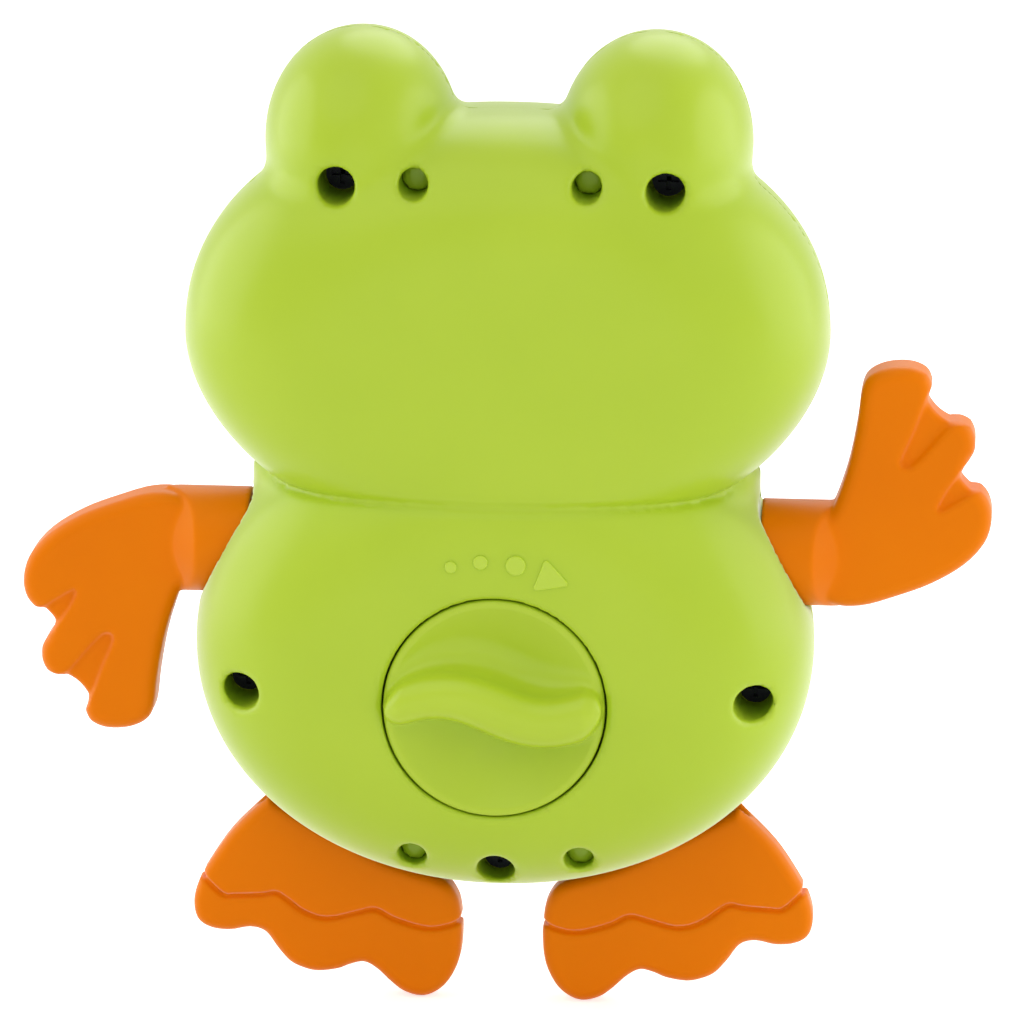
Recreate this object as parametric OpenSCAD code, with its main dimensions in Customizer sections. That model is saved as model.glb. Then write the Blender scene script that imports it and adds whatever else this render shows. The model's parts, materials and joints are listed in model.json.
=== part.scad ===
// Wind-up swimming frog for the bath. Its arms turn on one axle, driven by a clockwork in a sealed case.
// The frog stands with its back to -Y, its face to +Y and +Z up. Its toes touch z = 0.

/* [Casing] */
// Half width of the body
body_half_w = 40.1; // [36:0.1:46]
// Half height of the body
body_half_h = 32.2; // [29:0.1:36]
// Height of the body's centre above the toes
body_z = 48.5; // [44:0.1:54]
// Half width of the head
head_half_w = 41.7; // [36:0.1:48]
// Half height of the head
head_half_h = 29.3; // [26:0.1:34]
// Height of the head's centre above the body's centre
head_rise = 40.9; // [38:0.1:46]
// Distance from the parting plane to the flat of the back
back_depth = 20.8; // [20.6:0.1:21.4]
// Distance from the parting plane to the front of the face and body
front_depth = 23.2; // [22.6:0.1:24]
// Radius of the round patch on the belly
belly_r = 12; // [9:0.5:12.5]
// How far the belly patch stands proud
belly_rise = 0.3; // [0.2:0.1:0.6]
// Half width of the neck between head and body
neck_half_w = 33; // [28:0.1:35]
// Share of the casing's depth that the neck has
neck_depth_share = 0.78; // [0.7:0.01:0.8]
// Wall of the casing
wall = 2; // [1.6:0.1:2.6]
// Tilt of the flat on each shoulder
shoulder_tilt = 22; // [15:1:28]
// Distance from the middle to the shoulder flat, at the arm's height
shoulder_x = 36.6; // [35:0.1:39]

/* [Eyes] */
// Half width of an eye bump
bump_half_w = 12.5; // [10:0.1:15]
// Half height of an eye bump
bump_half_h = 14.4; // [12:0.1:17]
// Half depth of an eye bump
bump_depth = 16.5; // [14:0.1:19]
// Distance of an eye bump from the middle
bump_x = 18.9; // [16:0.1:22]
// Height of the eye bumps' centres above the head's centre
bump_rise = 25.2; // [22:0.1:28]
// Radius of an eye
eye_r = 8; // [6:0.1:9]
// Radius of a pupil
pupil_r = 4.2; // [3:0.1:5]
// How far an eye stands out of its bump
eye_proud = 0.8; // [0.4:0.1:1.5]

/* [Winding key] */
// Radius of the key's dish
key_r = 14.25; // [12:0.1:15.5]
// Distance of the key's axis below the body's centre
key_drop = 4.3; // [3:0.1:5.5]
// Depth of the dish at its middle
dish_depth = 3.6; // [2.5:0.1:3.8]
// Depth behind the parting plane of the dish's rim
key_rim_y = 20.4; // [20.2:0.1:20.6]
// Depth behind the parting plane of the ridge's crest
ridge_y = 24.3; // [23.6:0.1:24.8]
// Width of the finger ridge
ridge_w = 6.2; // [5:0.1:7]
// Sideways swing of the finger ridge
ridge_sway = 1.6; // [1:0.1:2.4]

/* [Arms] */
// Height of the arm axle above the body's centre
arm_rise = 12.5; // [12:0.1:13]
// Radius of the arm's root
root_r = 6.9; // [6:0.1:8]
// Distance from the middle to the end of the longest finger
arm_reach = 63; // [58:0.1:70]
// Length of the hand below the axle
hand_drop = 25.3; // [22:0.1:28]
// Thickness of the hand
hand_t = 7.6; // [6:0.1:10]
// Radius of the arm axle
axle_r = 1.5; // [1.2:0.1:1.8]

/* [Feet] */
// Distance from the middle to the outside of a foot
foot_reach = 40.8; // [37:0.1:44]
// Thickness of a foot
foot_t = 5.4; // [4.4:0.1:6]
// Height of the foot pins above the toes
foot_pin_z = 26.5; // [26:0.1:27.5]
// Radius of the foot pins
foot_pin_r = 1.2; // [1:0.1:1.4]
// Swing of a foot each way
foot_swing = 12; // [6:1:13]

/* [Screws and pegs] */
// Radius of the screw wells in the back
well_r = 2.45; // [2.3:0.05:2.8]
// Radius of a screw's head
screw_head_r = 2.1; // [1.8:0.05:2.2]
// Height of a screw's head
screw_head_h = 1.5; // [1.2:0.1:2]
// Radius of a screw's shank
screw_r = 1.2; // [1:0.05:1.3]
// Length of a screw's shank
screw_l = 10; // [8:0.5:11]
// Radius of the locating peg holes
peg_hole_r = 1.9; // [1.7:0.05:2.2]

/* [Clockwork] */
// Gear module
gear_m = 0.8; // [0.78:0.01:0.82]
// Thickness of the great wheel
great_t = 2; // [1.6:0.1:2.1]
// Wall of the motor case
case_wall = 1.5; // [1.2:0.1:1.8]
// Half depth of the motor case behind and in front of the axle
case_half_t = 10; // [9.8:0.1:10.4]
// Radius of the key's arbor
arbor_r = 2; // [1.8:0.1:2.2]
// Width of the mainspring
spring_w = 8; // [6:0.1:8.4]
// Thickness of the mainspring
spring_t = 0.5; // [0.4:0.05:0.6]

/* [Hidden] */
$fn = 64;

// Clearances
run_gap = 0.05;    // a shaft in its bore
turn_gap = 0.3;    // a moving piece beside a still one
seat_gap = 0.02;   // a piece fixed on a shaft
over = 1;          // overrun of a cut
far = 100;         // longer than the whole toy

// The casing's rounded edge, as a share of its half width
edge_share = 0.6;
edge_steps = 10;

// Places worked out from the casing
head_z = body_z + head_rise;
bump_z = head_z + bump_rise;
key_z = body_z - key_drop;
arm_z = body_z + arm_rise;

// Screws that hold the two shells together, as shares of the body's and head's half sizes
side_screw_x_share = 0.823;
side_screw_drop_share = 0.124;
low_screw_drop_share = 0.845;
eye_screw_x_share = 0.501;
eye_screw_rise_share = 0.734;
screw_places = [
    [-body_half_w * side_screw_x_share, body_z - body_half_h * side_screw_drop_share],
    [body_half_w * side_screw_x_share, body_z - body_half_h * side_screw_drop_share],
    [0, body_z - body_half_h * low_screw_drop_share],
    [-head_half_w * eye_screw_x_share, head_z + head_half_h * eye_screw_rise_share],
    [head_half_w * eye_screw_x_share, head_z + head_half_h * eye_screw_rise_share]
];
well_wall = 1.3;
well_floor_y = -5;      // where the screw heads sit
well_floor_t = 2;
recess_l_share = 1.3;   // the cross recess, in screw head radii
recess_w_share = 0.3;
post_gap = 0.1;         // between a well's floor and the post behind it
post_r = 2.5;
pilot_gap = 0.05;
pilot_l = screw_l - well_floor_t + over;

// Pegs of the front shell in the holes of the back shell
low_peg_x_share = 0.27;
low_peg_drop_share = 0.786;
high_peg_x_share = 0.264;
high_peg_rise_share = 0.751;
peg_places = [
    [-body_half_w * low_peg_x_share, body_z - body_half_h * low_peg_drop_share],
    [body_half_w * low_peg_x_share, body_z - body_half_h * low_peg_drop_share],
    [-head_half_w * high_peg_x_share, head_z + head_half_h * high_peg_rise_share],
    [head_half_w * high_peg_x_share, head_z + head_half_h * high_peg_rise_share]
];
peg_wall = 1.1;
peg_tube_y = -8;        // inner end of the tube round a peg
peg_end_y = -11;       // visible end of a peg

// Raised marks over the key as [x, height over the key's axis, radius]
mark_h = 0.45;
mark_root_y = back_depth - wall / 2;
marks = [[-5.6, 18.6, 0.8], [-1.8, 19.3, 0.95], [2.7, 19, 1.3]];
arrow = [[6.6, 19.6], [9.2, 16.7], [5.2, 16]];

// Key
key_gap = 0.35;         // between the dish and its well
key_well_wall = 1.5;
key_edge_t = 2.4;       // thickness of the dish at its rim
key_lip_w = 0.9;
key_hub_r = 7;
key_floor_t = 1.6;
key_under_y = key_rim_y - dish_depth - key_floor_t;
dish_steps = 8;
pan_gap = 1;            // between the key and the floor of its well
pan_t = 1.3;
pan_y = key_under_y - pan_gap - pan_t;
ridge_steps = 12;
ridge_turn = 190;       // how much of a wave each half of the ridge is, in degrees
ridge_end_share = 0.62; // width of the ridge's ends
ridge_dome_share = 1.12; // roundness of the ridge's crest
stub_r = 1.5;           // the arbor's end in the key
stub_l = 4;

// Gears
great_teeth = 32;
pinion_teeth = 10;
crown_teeth = 24;
drive_teeth = 8;
pressure = 20;
addendum = 0.75 * gear_m;
dedendum = 1.1 * gear_m;
tooth_ease = 0.2 * gear_m;
root_lift = 0.1 * gear_m;
great_gap = 0.5;        // between the great wheel and the case's floor
great_y = -case_half_t + case_wall + great_gap;
ratchet_t = 0.7;
ratchet_teeth = 12;
ratchet_r = 4.3;
ratchet_root_r = 3.5;
click_r = 1.1;
click_at = 7.4;
click_w = 1.2;
drive_r = gear_m * drive_teeth / 2;
crown_r = gear_m * crown_teeth / 2;
crown_face = 1.4;       // half length of a crown tooth along its radius
crown_disc_t = 1;
crown_root_gap = 0.2;   // under the drive pinion's teeth
crown_root_y = -drive_r - addendum - crown_root_gap;
crown_tip_y = -drive_r + addendum;
crown_tip_w = 0.4;
crown_root_w = 1.3;
pinion_over = 0.2;      // the crown's pinion is this much wider than the great wheel on each side
crown_pinion_y = great_y - pinion_over;
crown_pinion_t = great_t + pinion_over * 2;
crown_hub_r = 2.4;
crown_pin_r = 1;
crown_bore = crown_pin_r + run_gap;
crown_pin_head_r = 1.8;
crown_pin_head_t = 0.7;
crown_pin_sunk = 1;     // depth of the crown's pin in the case
drive_face = 1;         // half length of the drive pinion
spring_turns = 5;
spring_steps = 20;      // steps in each turn
spring_y = -1.8;
spring_out_r = 11.4;
spring_in_r = arbor_r + turn_gap;

// Motor case
great_room = gear_m * great_teeth / 2 + addendum + turn_gap;
crown_room = crown_r + crown_face + turn_gap;
ear_r = 3;
ear_t = 2.4;
ear_out = 1.8;          // from the case's side to the middle of an ear
low_ear_angle = -18;
high_ear_angle = 42;
gasket_t = 0.6;
bush_r = 3.2;
bush_l = 4.6;
bush_wall = 1.4;
seal_t = 1.6;
boss_gap = 0.1;
boss_end = crown_room + bush_l + seal_t + boss_gap;
key_boss_r = 4.6;
key_boss_l = 2.8;
key_seal_r = 3.4;
end_bearing_r = 3.6;
end_bearing_l = 1;
motor_screw_r = 0.8;
motor_screw_head_r = 1.6;
motor_screw_head_h = 1;
ear_places = [
    for (side = [-1, 1]) [
        side * (great_room + case_wall + ear_out) * cos(low_ear_angle),
        key_z + (great_room + case_wall + ear_out) * sin(low_ear_angle)
    ],
    for (side = [-1, 1]) [
        side * (crown_room + case_wall + ear_out) * cos(high_ear_angle),
        arm_z + (crown_room + case_wall + ear_out) * sin(high_ear_angle)
    ]
];
stay_r = 8;             // rings of the shells that hold the case
stay_bore = 6;

// Shoulders
pocket_x = 33;          // floor of the pocket that an arm's root turns in
pocket_r = root_r + turn_gap;
cup_wall = 1.5;
root_x = pocket_x + turn_gap;
root_show = 4.27;       // length of an arm's root outside the shoulder's flat
root_end_x = shoulder_x + root_show;
hand_l = arm_reach - root_end_x;
bevel_share = 0.188;
bevel_end_x = root_end_x + hand_l * bevel_share;
axle_end_gap = 1;
axle_end_x = root_end_x - axle_end_gap;
shoulder_low = 20;      // how far a shoulder's flat reaches below the arm's axle

// Foot hinges
foot_top_drop = 1.4;    // from the pin down to the foot's outline
foot_h = foot_pin_z - foot_top_drop;
hinge_x_share = 0.524;
hinge_x = body_half_w * hinge_x_share;
knuckle_r = 2.6;
knuckle_w = 3.6;
knuckle_root_share = 0.7;
knuckle_ease = 0.2;
hinge_block_w = 3;
hinge_block_low = 2.2;
hinge_block_back = 2.4;
slot_gap = 0.5;
slot_half = foot_t / 2 + (foot_pin_z - body_z + body_half_h) * sin(foot_swing) + slot_gap;
slot_in_share = 0.117;
slot_out_share = 0.82;
slot_in_x = foot_reach * slot_in_share;
slot_out_x = foot_reach * slot_out_share;
slot_room = 2;
slot_top = foot_pin_z + slot_room;

// Eyes
eye_sunk = 5.5;
eye_back_y = bump_depth - eye_sunk;
eye_seat_wall = 1.2;
pupil_sunk = 2;
pupil_back_y = bump_depth - pupil_sunk;
pupil_rise = 0.4;
pupil_proud = eye_proud + pupil_rise;

// Outlines, as shares of a length and a height: the hand from its root, the foot from the middle
hand_shares = [
    [0, -0.273], [0.13, -0.268], [0.235, -0.253], [0.446, -0.198], [0.655, -0.126],
    [0.843, -0.024], [0.962, 0.095], [1, 0.217], [0.977, 0.316], [0.899, 0.391], [0.843, 0.447],
    [0.852, 0.51], [0.89, 0.577], [0.884, 0.66], [0.829, 0.727], [0.762, 0.747], [0.69, 0.787],
    [0.638, 0.85], [0.629, 0.909], [0.591, 0.968], [0.493, 1], [0.359, 0.992], [0.258, 0.949],
    [0.214, 0.877], [0.191, 0.711], [0.151, 0.514], [0.101, 0.364], [0.049, 0.29], [0, 0.24]
];
foot_shares = [
    [0.784, 1.008], [0.872, 0.872], [0.955, 0.679], [0.987, 0.581], [1, 0.479], [0.987, 0.389],
    [0.945, 0.343], [0.882, 0.332], [0.817, 0.351], [0.767, 0.328], [0.727, 0.242], [0.687, 0.17],
    [0.644, 0.136], [0.596, 0.121], [0.531, 0.136], [0.491, 0.162], [0.446, 0.177], [0.404, 0.14],
    [0.361, 0.075], [0.318, 0.023], [0.263, 0], [0.216, 0.023], [0.173, 0.087], [0.14, 0.2],
    [0.13, 0.328], [0.133, 0.453], [0.148, 0.555], [0.2, 0.642], [0.371, 0.739]
];

// Helpers
module y_rod(x, z, y0, y1, r) {
    translate([x, y0, z])
        rotate([-90, 0, 0])
            cylinder(r = r, h = y1 - y0);
}

module x_rod(x0, x1, z, r) {
    translate([x0, 0, z])
        rotate([0, 90, 0])
            cylinder(r = r, h = x1 - x0);
}

module slab(y0, y1) {
    translate([0, y1, 0])
        rotate([90, 0, 0])
            linear_extrude(height = y1 - y0)
                children();
}

module both_sides() {
    children();
    mirror([1, 0, 0])
        children();
}

function involute(alpha) = tan(alpha) * 180 / PI - alpha;
function flank(r, base, half) = half + involute(pressure) - (r > base ? involute(acos(base / r)) : 0);

// Outline of a spur gear
function gear_points(n) = let (
    pitch = gear_m * n / 2,
    base = pitch * cos(pressure),
    tip = pitch + addendum,
    root = pitch - dedendum,
    half = 90 / n - tooth_ease / pitch * 90 / PI,
    rise = [root, max(base, root + root_lift), pitch, tip]
) [
    for (i = [0:n - 1]) for (side = [-1, 1]) for (k = [0:3])
        let (
            r = rise[side < 0 ? k : 3 - k],
            a = i * 360 / n + side * flank(r, base, half)
        ) r * [cos(a), sin(a)]
];

// Half of a rounded form, flat in the middle, drawn in by inset
module pillow(w, h, depth, inset) {
    edge = w * edge_share;
    scale([1, 1, (h - inset) / (w - inset)])
        rotate([-90, 0, 0])
            rotate_extrude($fn = 96)
                polygon([
                    [0, -over],
                    [w - inset, -over],
                    for (i = [0:edge_steps])
                        let (t = i * 90 / edge_steps)
                            [w - edge + (edge - inset) * cos(t), (depth - inset) * sin(t)],
                    [0, depth - inset]
                ]);
}

module pillows(depth, inset) {
    translate([0, 0, body_z])
        pillow(body_half_w, body_half_h, depth, inset);
    translate([0, 0, head_z])
        pillow(head_half_w, head_half_h, depth, inset);
}

// The form that one half of the casing is cut from
module round_form(inset, depth, back) {
    if (back)
        mirror([0, 1, 0])
            pillows(depth, inset);
    else
        pillows(depth, inset);
    both_sides()
        translate([bump_x, 0, bump_z])
            scale([bump_half_w - inset, bump_depth - inset, bump_half_h - inset])
                sphere(1, $fn = 96);
    translate([0, 0, arm_z])
        scale([neck_half_w - inset, depth * neck_depth_share - inset, head_rise - arm_rise])
            cylinder(r = 1, h = 1, $fn = 96);
}

module shoulder_cuts(inset) {
    both_sides()
        translate([shoulder_x - inset, 0, arm_z])
            rotate([0, -shoulder_tilt, 0])
                translate([0, -far / 2, -shoulder_low])
                    cube([far, far, shoulder_low + root_r + wall + inset]);
}

module casing(inset, depth, back) {
    difference() {
        round_form(inset, depth, back);
        shoulder_cuts(inset);
    }
}

module behind() {
    translate([-far, -far, -far])
        cube([far * 2, far, far * 3]);
}

module half_shell(depth, back) {
    difference() {
        casing(0, depth, back);
        casing(wall, depth, back);
        foot_slots();
    }
    intersection() {
        casing(0, depth, back);
        both_sides()
            x_rod(pocket_x - wall, body_half_w + over, arm_z, pocket_r + cup_wall);
    }
}

module foot_slots() {
    both_sides()
        translate([slot_in_x, -slot_half, 0])
            cube([slot_out_x - slot_in_x, slot_half * 2, slot_top]);
}

module shoulder_bores() {
    both_sides() {
        x_rod(pocket_x, far, arm_z, pocket_r);
        x_rod(pocket_x - wall - over, far, arm_z, axle_r + turn_gap);
    }
}

// Front shell
module front_shell() {
    color("yellowgreen")
    difference() {
        union() {
            difference() {
                half_shell(front_depth, false);
                behind();
            }
            intersection() {
                casing(wall / 2, front_depth, false);
                front_inside();
            }
            y_rod(0, body_z, front_depth - wall / 2, front_depth + belly_rise, belly_r);
            for (p = peg_places)
                y_rod(p[0], p[1], peg_end_y, over, peg_hole_r - turn_gap / 2);
            for (p = screw_places)
                y_rod(p[0], p[1], well_floor_y + well_floor_t + post_gap, over, post_r);
            hinge_blocks(-hinge_block_back, over);
        }
        shoulder_bores();
        for (p = screw_places)
            y_rod(p[0], p[1], -far, well_floor_y + well_floor_t + pilot_l, screw_r + pilot_gap);
        both_sides() {
            x_rod(slot_in_x, slot_out_x, foot_pin_z, foot_pin_r + seat_gap);
            y_rod(bump_x, bump_z, eye_back_y, far, eye_r + seat_gap);
        }
    }
}

module front_inside() {
    for (p = peg_places)
        y_rod(p[0], p[1], 0, far, peg_hole_r - turn_gap / 2);
    for (p = screw_places)
        y_rod(p[0], p[1], 0, far, post_r);
    hinge_blocks(0, far);
    both_sides()
        y_rod(bump_x, bump_z, eye_back_y - eye_seat_wall, far, eye_r + eye_seat_wall);
    difference() {
        y_rod(0, key_z, case_half_t, far, stay_r);
        y_rod(0, key_z, 0, front_depth - wall, stay_bore);
    }
}

module hinge_blocks(y0, y1) {
    inner_x = hinge_x - knuckle_w / 2 - knuckle_ease - hinge_block_w;
    outer_x = hinge_x + knuckle_w / 2 + knuckle_ease;
    both_sides()
        for (x = [inner_x, outer_x])
            translate([x, y0, foot_pin_z - hinge_block_low])
                cube([hinge_block_w, y1 - y0, hinge_block_low + knuckle_r]);
}

// Back shell
module back_shell() {
    color("yellowgreen")
    difference() {
        union() {
            intersection() {
                half_shell(back_depth, true);
                behind();
            }
            intersection() {
                casing(wall / 2, back_depth, true);
                back_inside();
            }
            intersection() {
                casing(-mark_h, back_depth, true);
                raised_marks();
            }
        }
        shoulder_bores();
        y_rod(0, key_z, -far, -pan_y - pan_t, key_r + key_gap);
        y_rod(0, key_z, -far, 0, key_boss_r + turn_gap);
        for (p = screw_places) {
            y_rod(p[0], p[1], -far, well_floor_y, well_r);
            y_rod(p[0], p[1], -far, 0, screw_r + pilot_gap);
        }
        for (p = peg_places)
            y_rod(p[0], p[1], -far, 0, peg_hole_r);
    }
}

module back_inside() {
    for (p = peg_places)
        y_rod(p[0], p[1], -far, peg_tube_y, peg_hole_r + peg_wall);
    for (p = screw_places)
        y_rod(p[0], p[1], -far, well_floor_y + well_floor_t, well_r + well_wall);
    y_rod(0, key_z, -far, -pan_y, key_r + key_gap + key_well_wall);
    y_rod(0, key_z, -far, -case_half_t, stay_r);
}

module raised_marks() {
    translate([0, 0, key_z]) {
        for (m = marks)
            y_rod(m[0], m[1], -far, -mark_root_y, m[2]);
        slab(-far, -mark_root_y)
            polygon(arrow);
    }
}

// Screws that hold the shells together
module shell_screws() {
    color("silver")
    for (p = screw_places)
        difference() {
            union() {
                y_rod(p[0], p[1], well_floor_y - screw_head_h, well_floor_y, screw_head_r);
                y_rod(p[0], p[1], well_floor_y, well_floor_y + screw_l, screw_r);
            }
            for (turn = [0, 90])
                translate([p[0], well_floor_y - screw_head_h, p[1]])
                    rotate([0, turn, 0])
                        cube([screw_head_r * recess_l_share, screw_head_h, screw_head_r * recess_w_share],
                            center = true);
        }
}

// Eyes
module eye_form(grown) {
    translate([bump_x, 0, bump_z])
        scale([bump_half_w + grown, bump_depth + grown, bump_half_h + grown])
            sphere(1, $fn = 96);
}

module eye() {
    color("white")
    difference() {
        intersection() {
            eye_form(eye_proud);
            y_rod(bump_x, bump_z, eye_back_y, far, eye_r);
        }
        y_rod(bump_x, bump_z, pupil_back_y, far, pupil_r + seat_gap);
    }
}

module pupil() {
    color("black")
    intersection() {
        eye_form(pupil_proud);
        y_rod(bump_x, bump_z, pupil_back_y, far, pupil_r);
    }
}

// Winding key
function ridge_mid(t) = -ridge_sway * sin(t * ridge_turn);
function ridge_half(t) = ridge_w / 2 * (1 - (1 - ridge_end_share) * pow(t, 4));

module winding_key() {
    reach = key_r - key_lip_w;
    color("yellowgreen")
    difference() {
        translate([0, 0, key_z]) {
            rotate([90, 0, 0])
                rotate_extrude()
                    polygon([
                        [0, key_under_y],
                        [key_hub_r, key_under_y],
                        [key_r, key_rim_y - key_edge_t],
                        [key_r, key_rim_y],
                        for (i = [0:dish_steps])
                            let (t = 1 - i / dish_steps)
                                [reach * t, key_rim_y - dish_depth * (1 - t * t)]
                    ]);
            intersection() {
                slab(-ridge_y, -key_rim_y + dish_depth + key_floor_t / 2)
                    polygon([
                        for (i = [-ridge_steps:ridge_steps])
                            let (t = i / ridge_steps)
                                [reach * t, ridge_mid(t) + ridge_half(t)],
                        for (i = [-ridge_steps:ridge_steps])
                            let (t = -i / ridge_steps)
                                [reach * t, ridge_mid(t) - ridge_half(t)]
                    ]);
                translate([0, -key_under_y, 0])
                    scale([key_r * ridge_dome_share, ridge_y - key_under_y, key_r * ridge_dome_share])
                        sphere(1, $fn = 96);
            }
        }
        y_rod(0, key_z, -key_under_y - stub_l, 0, stub_r + seat_gap);
    }
}

module key_arbor() {
    color("silver") {
        y_rod(0, key_z, -key_under_y - stub_l + turn_gap, -key_under_y + over, stub_r);
        y_rod(0, key_z, -key_under_y, case_half_t - case_wall - turn_gap, arbor_r);
    }
}

module ring(y0, y1, z, inner, outer) {
    difference() {
        y_rod(0, z, y0, y1, outer);
        y_rod(0, z, y0 - over, y1 + over, inner);
    }
}

module key_seal() {
    color("dimgray")
    ring(-case_half_t - key_boss_l + turn_gap, -case_half_t, key_z, arbor_r + run_gap, key_seal_r);
}

// Clockwork
module spur(n, y0, y1, x, z, bore) {
    difference() {
        translate([x, 0, z])
            slab(y0, y1)
                polygon(gear_points(n));
        y_rod(x, z, y0 - over, y1 + over, bore);
    }
}

module great_wheel() {
    color("gold")
    spur(great_teeth, great_y, great_y + great_t, 0, key_z, arbor_r + seat_gap);
}

module ratchet_wheel() {
    step = 360 / ratchet_teeth;
    color("silver")
    difference() {
        translate([0, 0, key_z])
            slab(great_y + great_t, great_y + great_t + ratchet_t)
                polygon([
                    for (i = [0:ratchet_teeth - 1]) for (k = [0, 1])
                        (k == 0 ? ratchet_root_r : ratchet_r) * [cos(i * step), sin(i * step)]
                ]);
        y_rod(0, key_z, -far, far, arbor_r + seat_gap);
    }
}

module click() {
    color("silver")
    translate([0, 0, key_z])
        slab(great_y + great_t, great_y + great_t + ratchet_t) {
            translate([click_at, 0])
                circle(click_r);
            polygon([
                [click_at, click_r],
                [click_at - click_w, click_r],
                [ratchet_r + turn_gap, -click_r],
                [ratchet_r + turn_gap + click_w / 2, -click_r - click_w / 2],
                [click_at, -click_r]
            ]);
        }
}

// A coiled strip, its outer end beside the case's wall
module mainspring() {
    steps = spring_turns * spring_steps;
    spring_room = spring_out_r - spring_in_r - spring_t;
    color("lightsteelblue")
    translate([0, 0, key_z])
        slab(spring_y, spring_y + spring_w)
            polygon([
                for (edge = [0, 1]) for (i = [0:steps])
                    let (
                        s = edge == 0 ? i : steps - i,
                        r = spring_in_r + spring_room * s / steps + edge * spring_t,
                        a = s * 360 / spring_steps
                    ) r * [cos(a), sin(a)]
            ]);
}

module crown_wheel() {
    color("ivory") {
        spur(pinion_teeth, crown_pinion_y, crown_pinion_y + crown_pinion_t, 0, arm_z, crown_bore);
        ring(crown_pinion_y + crown_pinion_t - seat_gap, crown_root_y, arm_z, crown_bore, crown_hub_r);
        ring(crown_root_y - crown_disc_t, crown_root_y, arm_z, crown_bore, crown_r + crown_face);
        for (i = [0:crown_teeth - 1])
            translate([0, 0, arm_z])
                rotate([0, i * 360 / crown_teeth, 0])
                    translate([crown_r - crown_face, 0, 0])
                        rotate([90, 0, 90])
                            linear_extrude(height = crown_face * 2)
                                polygon([
                                    [crown_root_y - crown_disc_t / 2, -crown_root_w / 2],
                                    [crown_root_y - crown_disc_t / 2, crown_root_w / 2],
                                    [crown_tip_y, crown_tip_w / 2],
                                    [crown_tip_y, -crown_tip_w / 2]
                                ]);
    }
}

module crown_pin() {
    color("silver") {
        y_rod(0, arm_z, -case_half_t + case_wall - crown_pin_sunk, crown_root_y + turn_gap, crown_pin_r);
        y_rod(0, arm_z, crown_root_y + turn_gap / 2, crown_root_y + turn_gap / 2 + crown_pin_head_t,
            crown_pin_head_r);
    }
}

module drive_pinion() {
    color("ivory")
    difference() {
        translate([-crown_r - drive_face, 0, arm_z])
            rotate([90, 0, 90])
                linear_extrude(height = drive_face * 2)
                    rotate(180 / drive_teeth)
                        polygon(gear_points(drive_teeth));
        x_rod(-far, far, arm_z, axle_r + seat_gap);
    }
}

// Motor case, its cover and what seals them
module case_outline(grown) {
    translate([0, key_z])
        circle(great_room + grown);
    translate([0, arm_z])
        circle(crown_room + grown);
}

module case_half(y0, y1, floor0, floor1) {
    difference() {
        union() {
            slab(y0, y1)
                case_outline(case_wall);
            intersection() {
                both_sides()
                    x_rod(crown_room, boss_end, arm_z, bush_r + bush_wall);
                translate([-far / 2, y0, 0])
                    cube([far, y1 - y0, far]);
            }
        }
        slab(floor0, floor1)
            case_outline(0);
        x_rod(-far, far, arm_z, bush_r);
    }
}

module ears(y0, y1) {
    difference() {
        for (p = ear_places)
            y_rod(p[0], p[1], y0, y1, ear_r);
        slab(-far, far)
            case_outline(case_wall / 2);
    }
}

module ear_bores() {
    for (p = ear_places)
        y_rod(p[0], p[1], -far, far, motor_screw_r + seat_gap);
}

module motor_case() {
    color("whitesmoke")
    difference() {
        union() {
            case_half(-case_half_t, -gasket_t / 2, -case_half_t + case_wall, over);
            ears(-gasket_t / 2 - ear_t, -gasket_t / 2);
            y_rod(0, key_z, -case_half_t - key_boss_l, -case_half_t + over, key_boss_r);
        }
        y_rod(0, key_z, -far, 0, arbor_r + run_gap);
        y_rod(0, key_z, -far, -case_half_t, key_seal_r + seat_gap);
        y_rod(0, arm_z, -case_half_t + case_wall - crown_pin_sunk, 0, crown_pin_r + seat_gap);
        ear_bores();
    }
}

module motor_cover() {
    color("whitesmoke")
    difference() {
        union() {
            case_half(gasket_t / 2, case_half_t, -over, case_half_t - case_wall);
            ears(gasket_t / 2, gasket_t / 2 + ear_t);
            y_rod(0, key_z, case_half_t - case_wall - end_bearing_l, case_half_t, end_bearing_r);
        }
        y_rod(0, key_z, 0, case_half_t - case_wall, arbor_r + run_gap);
        ear_bores();
    }
}

module motor_gasket() {
    color("dimgray")
    difference() {
        union() {
            slab(-gasket_t / 2, gasket_t / 2)
                case_outline(case_wall);
            translate([-boss_end, -gasket_t / 2, arm_z - bush_r - bush_wall])
                cube([boss_end * 2, gasket_t, (bush_r + bush_wall) * 2]);
        }
        slab(-gasket_t, gasket_t)
            case_outline(0);
        x_rod(-far, far, arm_z, bush_r);
    }
}

module motor_screws() {
    color("silver")
    for (p = ear_places) {
        y_rod(p[0], p[1], -gasket_t / 2 - ear_t, gasket_t / 2 + ear_t, motor_screw_r);
        y_rod(p[0], p[1], gasket_t / 2 + ear_t, gasket_t / 2 + ear_t + motor_screw_head_h,
            motor_screw_head_r);
    }
}

module sleeve(x0, x1) {
    difference() {
        x_rod(x0, x1, arm_z, bush_r - seat_gap);
        x_rod(x0 - over, x1 + over, arm_z, axle_r + run_gap);
    }
}

module bush() {
    color("goldenrod")
    sleeve(crown_room, crown_room + bush_l);
}

module axle_seal() {
    color("dimgray")
    sleeve(crown_room + bush_l, crown_room + bush_l + seal_t);
}

// Arms and their axle
module arm_axle() {
    color("silver")
    x_rod(-axle_end_x, axle_end_x, arm_z, axle_r);
}

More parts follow.
